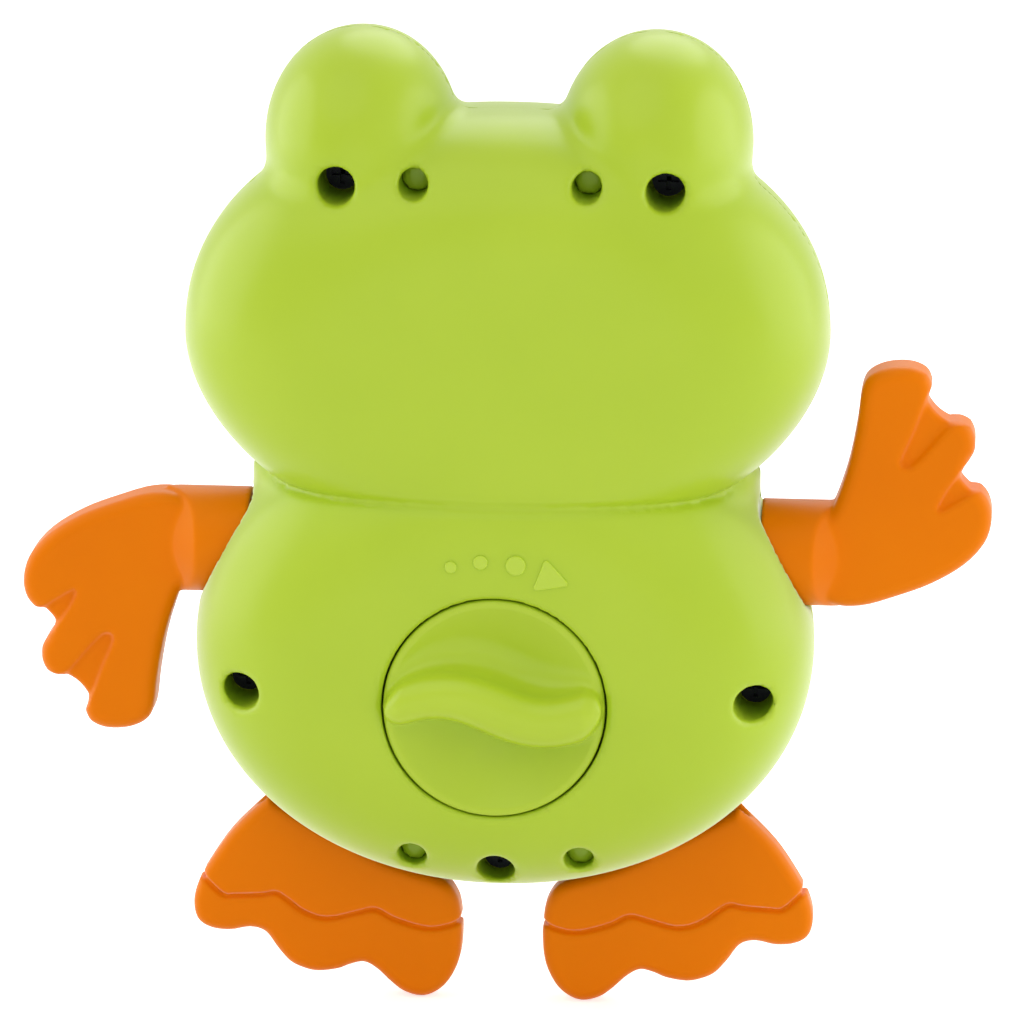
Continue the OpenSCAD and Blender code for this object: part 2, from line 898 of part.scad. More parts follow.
module arm(turn) {
    color("darkorange")
    translate([0, 0, arm_z])
    rotate([turn, 0, 0])
    difference() {
        union() {
            x_rod(root_x, root_end_x, 0, root_r);
            translate([root_end_x, 0, 0])
                rotate([0, 90, 0])
                    cylinder(r1 = root_r, r2 = hand_t / 2, h = bevel_end_x - root_end_x);
            slab(-hand_t / 2, hand_t / 2)
                polygon([for (s = hand_shares) [root_end_x + s[0] * hand_l, -s[1] * hand_drop]]);
        }
        x_rod(0, axle_end_x + turn_gap, 0, axle_r + seat_gap);
    }
}

// Feet and their pins
module foot() {
    knuckle_root_z = foot_h * knuckle_root_share;
    color("darkorange")
    difference() {
        union() {
            slab(-foot_t / 2, foot_t / 2)
                polygon([for (s = foot_shares) [s[0] * foot_reach, s[1] * foot_h]]);
            x_rod(hinge_x - knuckle_w / 2, hinge_x + knuckle_w / 2, foot_pin_z, knuckle_r);
            translate([hinge_x - knuckle_w / 2, -knuckle_r, knuckle_root_z])
                cube([knuckle_w, knuckle_r * 2, foot_pin_z - knuckle_root_z]);
        }
        x_rod(0, far, foot_pin_z, foot_pin_r + run_gap);
    }
}

module foot_pin() {
    half = knuckle_w / 2 + knuckle_ease + hinge_block_w;
    color("silver")
    x_rod(hinge_x - half, hinge_x + half, foot_pin_z, foot_pin_r);
}

// A second piece on the left, made from the one on the right
module on_left() {
    mirror([1, 0, 0])
        children();
}

front_shell();
back_shell();
on_left() eye();  // left_eye
eye();  // right_eye
on_left() pupil();  // left_pupil
pupil();  // right_pupil
shell_screws();
winding_key();
key_arbor();
key_seal();
great_wheel();
ratchet_wheel();
click();
mainspring();
crown_wheel();
crown_pin();
motor_case();
motor_cover();
motor_gasket();
motor_screws();
arm_axle();
drive_pinion();
on_left() bush();  // left_bush
bush();  // right_bush
on_left() axle_seal();  // left_axle_seal
axle_seal();  // right_axle_seal
on_left() arm(0);  // left_arm
arm(180);  // right_arm
on_left() foot();  // left_foot
foot();  // right_foot
on_left() foot_pin();  // left_foot_pin
foot_pin();  // right_foot_pin
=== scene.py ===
# Wind-up swimming frog for the bath: the finish of its moulded shells, arms, feet and key, and of the
# clockwork inside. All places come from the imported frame. Shapes are worked out in millimetres.
import json
import math

import bpy
import numpy as np
from bpy.props import FloatProperty, FloatVectorProperty, PointerProperty
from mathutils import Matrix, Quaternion, Vector


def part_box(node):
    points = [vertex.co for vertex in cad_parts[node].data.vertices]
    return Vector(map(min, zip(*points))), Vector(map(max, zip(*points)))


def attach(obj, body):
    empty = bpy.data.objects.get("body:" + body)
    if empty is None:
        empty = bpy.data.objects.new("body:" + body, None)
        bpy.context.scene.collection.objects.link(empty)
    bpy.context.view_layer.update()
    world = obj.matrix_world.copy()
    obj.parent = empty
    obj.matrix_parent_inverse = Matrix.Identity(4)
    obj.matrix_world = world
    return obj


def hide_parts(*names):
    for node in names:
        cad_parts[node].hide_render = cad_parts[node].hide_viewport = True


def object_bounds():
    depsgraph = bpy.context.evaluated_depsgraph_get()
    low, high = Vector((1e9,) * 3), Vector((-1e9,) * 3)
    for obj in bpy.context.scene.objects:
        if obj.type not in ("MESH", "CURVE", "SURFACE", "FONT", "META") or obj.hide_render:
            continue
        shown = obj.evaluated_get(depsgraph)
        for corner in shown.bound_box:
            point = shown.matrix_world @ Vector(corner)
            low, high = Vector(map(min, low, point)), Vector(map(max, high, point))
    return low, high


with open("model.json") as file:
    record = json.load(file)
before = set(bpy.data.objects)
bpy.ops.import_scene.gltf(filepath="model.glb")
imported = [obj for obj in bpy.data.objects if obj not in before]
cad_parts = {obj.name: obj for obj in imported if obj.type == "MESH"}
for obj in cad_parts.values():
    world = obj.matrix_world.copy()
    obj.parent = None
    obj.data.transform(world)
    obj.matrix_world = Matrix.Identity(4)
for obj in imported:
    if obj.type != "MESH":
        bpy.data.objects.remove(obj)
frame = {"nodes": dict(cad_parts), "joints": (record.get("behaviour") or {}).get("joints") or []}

bl_info = {
    "name": "Wind-up Frog",
    "version": (1, 0, 0),
    "blender": (4, 5, 0),
    "location": "3D View > Sidebar > Frog",
    "description": "Models the moulded shells, limbs, key and screws of a clockwork bath frog",
    "category": "Object",
}

CAD_BOX = [list(corner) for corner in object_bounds()]
MM = 0.001


def box(node):
    """Lowest and highest corners of a node, in millimetres."""
    low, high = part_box(node)
    return np.array(low) / MM, np.array(high) / MM


def joint_place(name):
    """A point on a joint's axis, in millimetres."""
    joint = next(j for j in frame["joints"] if j["name"] == name)
    return np.array(joint["pos_m"]) / MM


# Places taken from the frame
SHELL_LOW, SHELL_HIGH = box("back_shell")
FRONT_LOW, FRONT_HIGH = box("front_shell")
KEY_LOW, KEY_HIGH = box("winding_key")
SCREWS_LOW, SCREWS_HIGH = box("shell_screws")
FOOT_LOW, FOOT_HIGH = box("right_foot")
ARM_LOW, ARM_HIGH = box("left_arm")
EYE_LOW, EYE_HIGH = box("right_eye")
CASE_LOW = box("motor_case")[0]
COVER_HIGH = box("motor_cover")[1]
PIN_LOW, PIN_HIGH = box("right_foot_pin")
ARM_Z = joint_place("arms_turn")[2]
KEY_Z = joint_place("key_turn")[2]
HINGE_X = joint_place("right_foot_swing")[0]
HINGE_Z = joint_place("right_foot_swing")[2]

# Casing: W is a half width and H a half height, LOW is below a form's middle, POWER shapes its outline
BODY_W = 40.3
BODY_H = (ARM_Z - SHELL_LOW[2]) * 0.7203
BODY_LOW_H = BODY_H - 0.4
BODY_Z = SHELL_LOW[2] + BODY_H
BODY_POWER = 2.02
BODY_LOW_POWER = 2.06
HEAD_W = SHELL_HIGH[0]
HEAD_H = 29.3
HEAD_LOW_H = 28.9
HEAD_POWER = 2.2
HEAD_LOW_POWER = 1.85
BUMP = (12.5, 16.5, 14.4)
BUMP_POWER = 2.05
BUMP_EDGE_SHARE = 0.95
BUMP_X = (EYE_LOW[0] + EYE_HIGH[0]) / 2
BUMP_Z = SHELL_HIGH[2] - BUMP[2]
HEAD_Z = BUMP_Z - 25.2
BACK_Y = 20.8
BELLY_Y = FRONT_HIGH[1]
BELLY_RISE = 0.3
BELLY_R = 12
FACE_Y = BELLY_Y - BELLY_RISE
NECK_W = 33
NECK_DEPTH_SHARE = 0.74
CREASE = 0.45              # how much deeper the line between head and body is than where they would meet
CREASE_HALF = 0.55
WALL = 2
EDGE_SHARE = 0.6           # the rounded edge, as a share of the half width
FULLNESS = 2.4             # how steeply that edge leaves the parting plane
SEAM = 0.015               # half of the gap between the shells
FAR = 99                   # past the casing on any side
SHOULDER_X = 37.9
SHOULDER_TILT = math.radians(22)
POCKET_X = 33
POCKET_R = 7.05
AXLE_HOLE_R = 1.8
SCREW_HEAD_R = 2.1
SCREW_HOLE_R = 1.25
POST_R = 3.2
WELL_R = 2.45
WELL_WALL = 1.3
WELL_FLOOR_Y = -5
PEG_HOLE_R = 1.9
PEG_HOLE_WALL = 1.1
PEG_GAP = 0.08
HOLE_EDGE = 0.75           # rounding of the wells' and peg holes' rims
HUB_R = 8                  # the bosses that the clockwork's case sits between
ARBOR_HOLE_R = 4.9
EYE_BORE_R = 8.05
EYE_SEAT_R = 9.2
PIN_BORE_R = 1.22
PEG_END_Y = FRONT_LOW[1]
SLOT_HALF = 5.35
SLOT_X = (4.8, 33.5)

SCREW_PLACES = [
    (SCREWS_LOW[0] + SCREW_HEAD_R, BODY_Z - 4),
    (SCREWS_HIGH[0] - SCREW_HEAD_R, BODY_Z - 4),
    (0, SCREWS_LOW[2] + SCREW_HEAD_R),
    (-20.9, SCREWS_HIGH[2] - SCREW_HEAD_R),
    (20.9, SCREWS_HIGH[2] - SCREW_HEAD_R),
]
PEG_PLACES = [(-10.8, BODY_Z - 25.3), (10.8, BODY_Z - 25.3), (-11, HEAD_Z + 22), (11, HEAD_Z + 22)]

# Key
KEY_R = (KEY_HIGH[0] - KEY_LOW[0]) / 2
KEY_GAP = 0.25
KEY_RIM = 20.4
KEY_LIP = 0.9
KEY_HUB_R = 7
KEY_WALL = 2.4
PAN_DROP = 2.3
PAN_WALL = 1.5
PAN_FLOOR = 1.3
KEY_UNDER = -KEY_HIGH[1]
KEY_CREST = -KEY_LOW[1]
DISH = 3.6
RIDGE_W = 6.5
RIDGE_SWAY = 1.6
RIDGE_RISE = 0.2
RIDGE_TURN = math.radians(190)
RIDGE_CAP = 0.8
RIDGE_EDGE = 2.9
SHAFT_BORE_R = 1.52        # in the key for its arbor, and in the arms for their axle

# Direction marks over the key: x, height over the key's axis, radius
DOTS = [(-5.6, 18.6, 0.8), (-1.8, 19.3, 0.95), (2.7, 19, 1.3)]
ARROW = [(6.6, 19.4), (9, 16.8), (5.4, 16.2)]
ARROW_EDGE = 0.4
MARK_RISE = 0.3
MARK_STEP = 0.13           # their mesh's grid, finer than the shells'

# Limbs, as shares of a reach and a height, like the solids' own outlines
ARM_REACH = -ARM_LOW[0]
HAND_DROP = ARM_Z - ARM_LOW[2]
HAND_T = 7.6
ROOT_R = 6.9
ROOT_END = 39.3
BEVEL_END = 43.4
GROOVE = 0.85              # depth of the webs and of the line across a foot
HAND_SHARES = [
    (0.64, -0.15), (0.675, -0.245), (0.736, -0.253), (0.809, -0.198), (0.881, -0.126), (0.946, -0.024),
    (0.987, 0.095), (1, 0.217), (0.992, 0.316), (0.965, 0.391), (0.946, 0.447), (0.949, 0.51),
    (0.962, 0.577), (0.96, 0.66), (0.941, 0.727), (0.918, 0.747), (0.893, 0.787), (0.875, 0.85),
    (0.872, 0.909), (0.859, 0.968), (0.825, 1), (0.779, 0.992), (0.744, 0.949), (0.729, 0.877),
    (0.721, 0.711), (0.707, 0.514), (0.69, 0.364), (0.672, 0.25), (0.64, 0.15),
]
WEBS = [
    [(0.99, 0.37), (0.966, 0.37), (0.893, 0.262), (0.905, 0.36), (0.945, 0.49), (0.975, 0.52)],
    [(0.96, 0.72), (0.915, 0.715), (0.86, 0.56), (0.83, 0.49), (0.812, 0.515), (0.835, 0.66), (0.868, 0.87),
     (0.9, 0.9)],
]
FOOT_REACH = FOOT_HIGH[0]
FOOT_H = HINGE_Z - 1.4
FOOT_T = 5.4
FOOT_LINE_HALF = 0.32
HIP_R = 2.6
HIP_HALF = 1.8
HIP_BORE_R = 1.25
FOOT_SHARES = [
    (0.755, 1.065), (0.778, 1.035), (0.878, 0.87), (0.953, 0.69), (0.987, 0.581), (1, 0.479), (0.987, 0.389),
    (0.945, 0.343), (0.882, 0.332), (0.817, 0.351), (0.767, 0.328), (0.727, 0.242), (0.687, 0.17),
    (0.644, 0.136), (0.596, 0.121), (0.531, 0.136), (0.491, 0.162), (0.446, 0.177), (0.404, 0.14),
    (0.361, 0.075), (0.318, 0.023), (0.263, 0), (0.216, 0.023), (0.173, 0.087), (0.14, 0.2),
    (0.13, 0.328), (0.133, 0.453), (0.148, 0.555), (0.2, 0.642), (0.371, 0.739),
    (0.66, 0.985), (0.725, 1.04),
]
WAVE = [                       # the line across a foot
    (1.02, 0.68), (0.967, 0.625), (0.905, 0.534), (0.86, 0.53), (0.775, 0.538), (0.724, 0.546),
    (0.644, 0.454), (0.566, 0.418), (0.469, 0.454), (0.409, 0.474), (0.343, 0.422), (0.23, 0.378),
    (0.128, 0.422), (0.1, 0.44),
]
PROBE = 0.02               # distance over which a field's slope is taken
RIM_ANGLE = math.radians(60)


def linear(hex_colour):
    """An sRGB hex colour as linear red, green and blue."""
    parts = [int(hex_colour[i:i + 2], 16) / 255 for i in (1, 3, 5)]
    return tuple(c / 12.92 if c <= 0.04045 else ((c + 0.055) / 1.055) ** 2.4 for c in parts)


# Distance fields: each takes points as three arrays and gives a distance, negative inside
def smooth_min(a, b, k):
    """The union of two forms, blended over k."""
    h = np.clip(0.5 + 0.5 * (b - a) / k, 0, 1)
    return b + (a - b) * h - k * h * (1 - h)


def smooth_max(a, b, k):
    """The overlap of two forms, blended over k."""
    return -smooth_min(-a, -b, k)


def pillow(x, y, z, centre, size, power, edge, fullness):
    """A form with a superelliptic outline, flat in its middle. Its edge is round at a fullness of 2."""
    ax, ay, az = size
    px = np.abs(x - centre[0]) / ax
    py = np.abs(y - centre[1]) / ay
    pz = np.abs(z - centre[2]) / az
    ring = (px ** power + pz ** power) ** (1 / power) + 1e-9
    past = np.maximum(ring - 1 + edge, 0) / edge
    k = (past ** fullness + py ** fullness) ** (1 / fullness) + 1e-9
    slope_y = (py / k) ** (fullness - 1) / ay
    slope_r = (past / k) ** (fullness - 1) / edge * ring ** (1 - power)
    gx = slope_r * px ** (power - 1) / ax
    gz = slope_r * pz ** (power - 1) / az
    return (k - 1) / np.sqrt(gx * gx + gz * gz + slope_y * slope_y + 1e-6)


def rod_y(x, y, z, place, y0, y1, r):
    """A round rod along Y."""
    away = np.hypot(x - place[0], z - place[1]) - r
    return np.maximum(away, np.maximum(y0 - y, y - y1))


def block(x, y, z, low, high):
    """A block between two corners."""
    dx = np.maximum(low[0] - x, x - high[0])
    dy = np.maximum(low[1] - y, y - high[1])
    dz = np.maximum(low[2] - z, z - high[2])
    return np.maximum(dx, np.maximum(dy, dz))


def line_distance(x, z, points):
    """Distance in the X-Z plane to an open line."""
    best = np.full(x.shape, 1e9)
    for (ax, az), (bx, bz) in zip(points, points[1:]):
        ex, ez = bx - ax, bz - az
        t = np.clip(((x - ax) * ex + (z - az) * ez) / (ex * ex + ez * ez + 1e-12), 0, 1)
        best = np.minimum(best, np.hypot(x - ax - t * ex, z - az - t * ez))
    return best


def outline_distance(x, z, points):
    """Signed distance in the X-Z plane to a closed outline."""
    ring = points + points[:1]
    inside = np.zeros(x.shape, bool)
    for (ax, az), (bx, bz) in zip(ring, ring[1:]):
        crosses = (az > z) != (bz > z)
        inside ^= crosses & (x < ax + (z - az) * (bx - ax) / ((bz - az) if bz - az else 1e-12))
    away = line_distance(x, z, ring)
    return np.where(inside, -away, away)


def flowing(points, steps, closed):
    """A smooth line through given points."""
    n = len(points)
    made = []
    for i in range(n if closed else n - 1):
        if closed:
            a, b, c, d = (points[(i + j) % n] for j in (-1, 0, 1, 2))
        else:
            a, b, c, d = (points[min(max(i + j, 0), n - 1)] for j in (-1, 0, 1, 2))
        for s in range(steps):
            t = s / steps
            made.append(tuple(
                0.5 * (2 * b[e] + (c[e] - a[e]) * t + (2 * a[e] - 5 * b[e] + 4 * c[e] - d[e]) * t * t
                       + (3 * b[e] - a[e] - 3 * c[e] + d[e]) * t ** 3)
                for e in (0, 1)))
    return made if closed else made + [points[-1]]


def rounded_edge(a, b, r):
    """The edge between two faces, rounded by r, from the distances to both faces' inner lines."""
    return np.minimum(np.maximum(a, b), 0) + np.hypot(np.maximum(a, 0), np.maximum(b, 0)) - r


def rounded_slab(flat, y, half, r):
    """A plate with rounded edges, from the distance to its outline."""
    return rounded_edge(flat + r, np.abs(y) - half + r, r)


def casing_field(x, y, z, depth):
    """The closed outer form of one half of the casing."""
    high = z > BODY_Z
    size = (BODY_W, depth, np.where(high, BODY_H, BODY_LOW_H))
    power = np.where(high, BODY_POWER, BODY_LOW_POWER)
    body = pillow(x, y, z, (0, 0, BODY_Z), size, power, EDGE_SHARE, FULLNESS)
    high = z > HEAD_Z
    size = (HEAD_W, depth, np.where(high, HEAD_H, HEAD_LOW_H))
    power = np.where(high, HEAD_POWER, HEAD_LOW_POWER)
    head = pillow(x, y, z, (0, 0, HEAD_Z), size, power, EDGE_SHARE, FULLNESS)
    side = np.abs(x)
    bump = pillow(side, y, z, (BUMP_X, 0, BUMP_Z), BUMP, BUMP_POWER, BUMP_EDGE_SHARE, 2)
    neck = (np.hypot(x / NECK_W, y / (depth * NECK_DEPTH_SHARE)) - 1) * depth * NECK_DEPTH_SHARE
    neck = smooth_max(neck, np.abs(z - (ARM_Z + HEAD_Z) / 2) - (HEAD_Z - ARM_Z) / 2, 3)
    body = smooth_min(body, neck, 1.5)
    form = smooth_min(body, head, 0.9) + CREASE * np.exp(-((body - head) / CREASE_HALF) ** 2)
    form = smooth_min(form, bump, 2.2)
    out = (side - SHOULDER_X) * math.cos(SHOULDER_TILT) + (z - ARM_Z) * math.sin(SHOULDER_TILT)
    up = (z - ARM_Z) * math.cos(SHOULDER_TILT) - (side - SHOULDER_X) * math.sin(SHOULDER_TILT)
    scoop = smooth_max(-out, up - ROOT_R - WALL, 3)
    return smooth_max(form, -scoop, 1.2)


def hollow(x, y, z, form):
    """The wall of a shell, open for the feet, with the cups that the arms turn in."""
    shell = np.maximum(form, -(form + WALL))
    side = np.abs(x)
    slot = block(side, y, z, (SLOT_X[0], -SLOT_HALF, -10), (SLOT_X[1], SLOT_HALF, HINGE_Z + 2))
    shell = smooth_max(shell, -slot, 0.5)
    from_axle = np.hypot(y, z - ARM_Z)
    cup = np.maximum(np.maximum(from_axle - POCKET_R - 1.5, POCKET_X - WALL - side), form)
    return np.minimum(shell, cup)


def arm_openings(x, y, z, shell):
    """A shell with the arms' pockets and the axle's holes cut into it."""
    side = np.abs(x)
    from_axle = np.hypot(y, z - ARM_Z)
    pocket = np.maximum(from_axle - POCKET_R, POCKET_X - side)
    axle = np.maximum(from_axle - AXLE_HOLE_R, POCKET_X - WALL - 1 - side)
    return smooth_max(smooth_max(shell, -pocket, 0.8), -axle, 0.3)


def marks_field(x, y, z):
    """The raised direction marks, rooted in the back's flat."""
    flat = outline_distance(x, z, [(ax, az + KEY_Z) for ax, az in ARROW]) - ARROW_EDGE
    for mx, mz, r in DOTS:
        flat = np.minimum(flat, np.hypot(x - mx, z - KEY_Z - mz) - r)
    return rounded_slab(flat, y + BACK_Y, MARK_RISE, 0.22)


def back_form(x, y, z):
    """The back half's outside."""
    return casing_field(x, y, z, BACK_Y)


def front_form(x, y, z):
    """The front half's outside."""
    return casing_field(x, y, z, FACE_Y)


def back_field(x, y, z):
    """The back shell, with the key's pan, the screws' wells and the pegs' holes."""
    form = back_form(x, y, z)
    shell = hollow(x, y, z, form)
    inside = form + WALL / 2
    axis = (0, KEY_Z)
    pan_low = KEY_UNDER - PAN_DROP
    parts = rod_y(x, y, z, axis, -FAR, -pan_low, KEY_R + KEY_GAP + PAN_WALL)
    parts = np.minimum(parts, rod_y(x, y, z, axis, -FAR, CASE_LOW[1] + 2.8, HUB_R))
    for place in SCREW_PLACES:
        parts = np.minimum(parts, rod_y(x, y, z, place, -FAR, WELL_FLOOR_Y + 2, WELL_R + WELL_WALL))
    for place in PEG_PLACES:
        parts = np.minimum(parts, rod_y(x, y, z, place, -FAR, -5, PEG_HOLE_R + PEG_HOLE_WALL))
    shell = np.minimum(shell, np.maximum(parts, inside))
    shell = smooth_max(shell, -rod_y(x, y, z, axis, -FAR, -pan_low - PAN_FLOOR, KEY_R + KEY_GAP), 0.6)
    shell = np.maximum(shell, -rod_y(x, y, z, axis, -FAR, 0, ARBOR_HOLE_R))
    for place in SCREW_PLACES:
        shell = smooth_max(shell, -rod_y(x, y, z, place, -FAR, WELL_FLOOR_Y, WELL_R), HOLE_EDGE)
        shell = np.maximum(shell, -rod_y(x, y, z, place, -FAR, 0, SCREW_HOLE_R))
    for place in PEG_PLACES:
        shell = smooth_max(shell, -rod_y(x, y, z, place, -FAR, 0, PEG_HOLE_R), HOLE_EDGE)
    shell = arm_openings(x, y, z, shell)
    return np.maximum(shell, y + SEAM)


def face_lines(x, z):
    """Depth of the mouth line and nostrils on the front."""
    mouth_r = 40
    mouth_z = HEAD_Z + 29.5
    mouth_reach = 25
    mouth_depth = mouth_half = 0.7
    nostril_x, nostril_rise = 4.2, 6
    nostril_depth = nostril_r = 0.9
    side = np.abs(x)
    mouth = np.hypot(np.abs(np.hypot(x, z - mouth_z) - mouth_r), np.maximum(side - mouth_reach, 0))
    mouth = np.where(z < mouth_z, mouth, FAR)
    nostril = np.hypot(side - nostril_x, z - HEAD_Z - nostril_rise)
    mouth = mouth_depth * np.exp(-(mouth / mouth_half) ** 2)
    return mouth + nostril_depth * np.exp(-(nostril / nostril_r) ** 2)


def front_field(x, y, z):
    """The front shell, with the posts, the pegs, the eyes' bores and the feet's hinge blocks."""
    form = front_form(x, y, z)
    form = form + np.where(y > 8, face_lines(x, z), 0)
    patch = rounded_slab(np.hypot(x, z - BODY_Z) - BELLY_R, y - BELLY_Y + 1, 1, 0.25)
    form = smooth_min(form, patch, 0.3)
    shell = hollow(x, y, z, form)
    inside = form + WALL / 2
    side = np.abs(x)
    parts = rod_y(x, y, z, (0, KEY_Z), COVER_HIGH[1], FAR, HUB_R)
    parts = np.maximum(parts, -rod_y(x, y, z, (0, KEY_Z), 0, FACE_Y - WALL, HUB_R - WALL))
    parts = np.minimum(parts, rod_y(side, y, z, (BUMP_X, BUMP_Z), EYE_LOW[1] - 1.2, FAR, EYE_SEAT_R))
    for place in SCREW_PLACES:
        parts = np.minimum(parts, rod_y(x, y, z, place, WELL_FLOOR_Y + 2.1, FAR, POST_R))
    for place in PEG_PLACES:
        parts = np.minimum(parts, rod_y(x, y, z, place, PEG_END_Y, FAR, PEG_HOLE_R - PEG_GAP))
    thick = 3
    for low in (PIN_LOW[0], PIN_HIGH[0] - thick):
        hinge = block(side, y, z, (low, -2.4, HINGE_Z - 2.2), (low + thick, FAR, HINGE_Z + 2.6))
        parts = np.minimum(parts, hinge)
    shell = np.maximum(shell, SEAM - y)
    shell = np.minimum(shell, np.maximum(parts, inside))
    for place in SCREW_PLACES:
        shell = np.maximum(shell, -rod_y(x, y, z, place, -FAR, 6, SCREW_HOLE_R))
    pin_room = block(side, y, z, (SLOT_X[0], -9, 0), (SLOT_X[1], 9, FAR))
    shell = np.maximum(shell, -np.maximum(np.hypot(y, z - HINGE_Z) - PIN_BORE_R, pin_room))
    eye = rod_y(side, y, z, (BUMP_X, BUMP_Z), EYE_LOW[1], FAR, EYE_BORE_R)
    shell = smooth_max(shell, -eye, 0.3)
    return arm_openings(x, y, z, shell)


def key_field(x, y, z):
    """The winding key: a dished disc with an S-shaped ridge for the fingers."""
    depth = -y
    away = np.hypot(x, z - KEY_Z)
    lip = KEY_R - KEY_LIP
    dish = KEY_RIM - DISH * np.clip(1 - (away / lip) ** 2, 0, 1)
    out = np.clip((away - KEY_HUB_R) / (KEY_R - KEY_HUB_R), 0, 1)
    under = KEY_UNDER + out * (KEY_RIM - KEY_WALL - KEY_UNDER)
    disc = np.maximum(smooth_max(away - KEY_R, depth - dish, 0.5), under - depth)
    reach = KEY_R - 0.35
    t = np.clip(x / reach, -1, 1)
    mid = KEY_Z + RIDGE_RISE - RIDGE_SWAY * np.sin(RIDGE_TURN * t)
    lean = RIDGE_TURN / reach * RIDGE_SWAY * np.cos(RIDGE_TURN * t)
    cap = np.clip(np.abs(t) - RIDGE_CAP, 0, 1) / (1 - RIDGE_CAP)
    half = (RIDGE_W / 2 + 0.25 * t - 0.5 * t * t) * np.sqrt(np.clip(1 - cap ** 2, 0.0004, 1))
    crest = KEY_CREST - 0.3 * t * t - 1.2 * cap ** 2
    r = np.minimum(half, RIDGE_EDGE)
    ridge = rounded_edge(np.abs(z - mid) / np.hypot(1, lean) - half + r, depth - crest + r, r)
    ridge = np.maximum(ridge, np.maximum(np.abs(x) - reach, KEY_UNDER + 0.8 - depth))
    above = np.clip((z - mid) / 2 + 0.5, 0, 1) * (1 - np.abs(t) ** 3)
    key = smooth_min(disc, ridge, 0.8 + 4 * above)
    key = np.maximum(key, away - KEY_R)
    stub = rod_y(x, y, z, (0, KEY_Z), -KEY_UNDER - 4, 0, SHAFT_BORE_R)
    return np.maximum(key, -stub)


def hand_field(x, y, z):
    """The left arm, hand down. The right one is its mirror image, turned half round the axle."""
    outline = flowing([(-sx * ARM_REACH, ARM_Z - sz * HAND_DROP) for sx, sz in HAND_SHARES], 4, True)
    flat = outline_distance(x, z, outline)
    hand = rounded_slab(flat, y, HAND_T / 2, 1.7)
    for web in WEBS:
        arch = flowing([(-sx * ARM_REACH, ARM_Z - sz * HAND_DROP) for sx, sz in web], 4, True)
        sunk = outline_distance(x, z, arch)
        hand = hand + GROOVE * np.clip(0.5 - sunk / 0.7, 0, 1)
    side = -x
    out = np.hypot(y, z - ARM_Z)
    slope = (ROOT_R - HAND_T / 2 + 0.6) / (BEVEL_END - ROOT_END)
    ramp = np.abs(y) - ROOT_R - 0.6 + (side - ROOT_END) * slope + 0.06 * (z - ARM_Z) ** 2
    root = smooth_max(out - ROOT_R, ramp / math.hypot(1, slope), 0.2)
    root = np.maximum(root, np.maximum(POCKET_X + 0.3 - side, side - BEVEL_END - 1))
    arm = smooth_min(hand, root, 0.3)
    bore = np.maximum(out - SHAFT_BORE_R, side - ROOT_END + 0.7)
    return np.maximum(arm, -bore)


def foot_field(x, y, z):
    """The right foot."""
    outline = flowing([(sx * FOOT_REACH, sz * FOOT_H) for sx, sz in FOOT_SHARES], 4, True)
    flat = outline_distance(x, z, outline)
    foot = rounded_slab(flat, y, FOOT_T / 2, 1.5)
    wave = flowing([(sx * FOOT_REACH, sz * FOOT_H) for sx, sz in WAVE], 4, False)
    line = line_distance(x, z, wave)
    foot = foot + GROOVE * np.exp(-(line / FOOT_LINE_HALF) ** 2)
    from_pin = np.hypot(y, z - HINGE_Z)
    hip = np.maximum(from_pin - HIP_R, np.abs(x - HINGE_X) - HIP_HALF)
    low = (HINGE_X - HIP_HALF, -HIP_R, FOOT_H * 0.7)
    tab = block(x, y, z, low, (HINGE_X + HIP_HALF, HIP_R, HINGE_Z))
    foot = np.minimum(foot, np.minimum(hip, tab))
    return np.maximum(foot, HIP_BORE_R - from_pin)


def surface(field, low, high, step):
    """Closed quads on the field's zero surface, as points and faces."""
    axes = [np.arange(low[i] - 1.5 * step, high[i] + 2 * step, step) for i in range(3)]
    grid = np.meshgrid(*axes, indexing="ij")
    value = field(*grid)
    inside = value < 0
    shape = np.array(value.shape) - 1
    corners = [(i, j, k) for i in (0, 1) for j in (0, 1) for k in (0, 1)]

    def part(a, c):
        return a[c[0]:c[0] + shape[0], c[1]:c[1] + shape[1], c[2]:c[2] + shape[2]]

    count = sum(part(inside, c).astype(np.int8) for c in corners)
    cells = np.argwhere((count > 0) & (count < 8))
    number = np.full(shape, -1, np.int64)
    number[tuple(cells.T)] = np.arange(len(cells))
    total = np.zeros((len(cells), 3))
    hits = np.zeros(len(cells))
    for a in corners:
        for axis in range(3):
            if a[axis]:
                continue
            b = tuple(v + (i == axis) for i, v in enumerate(a))
            va = value[tuple((cells + a).T)]
            vb = value[tuple((cells + b).T)]
            cut = (va < 0) != (vb < 0)
            t = np.where(cut, va / np.where(cut, va - vb, 1), 0)
            point = np.array(a, float)[None, :].repeat(len(cells), 0)
            point[:, axis] = t
            total += point * cut[:, None]
            hits += cut
    start = np.array([a[0] for a in axes])
    points = start + (cells + total / hits[:, None]) * step
    faces = []
    for axis in range(3):
        u, v = (axis + 1) % 3, (axis + 2) % 3
        size = list(value.shape)
        size[axis] -= 1
        head = [slice(1, -1)] * 3
        head[axis] = slice(0, size[axis])
        tail = list(head)
        tail[axis] = slice(1, size[axis] + 1)
        first = inside[tuple(head)]
        second = inside[tuple(tail)]
        for flip, chosen in ((False, first & ~second), (True, ~first & second)):
            at = np.argwhere(chosen)
            at[:, u] += 1
            at[:, v] += 1
            ring = []
            for du, dv in ((-1, -1), (0, -1), (0, 0), (-1, 0)):
                cell = at.copy()
                cell[:, u] += du
                cell[:, v] += dv
                ring.append(number[tuple(cell.T)])
            quad = np.stack(ring, 1)
            faces.append(quad[:, ::-1] if flip else quad)
    return points, np.concatenate(faces)


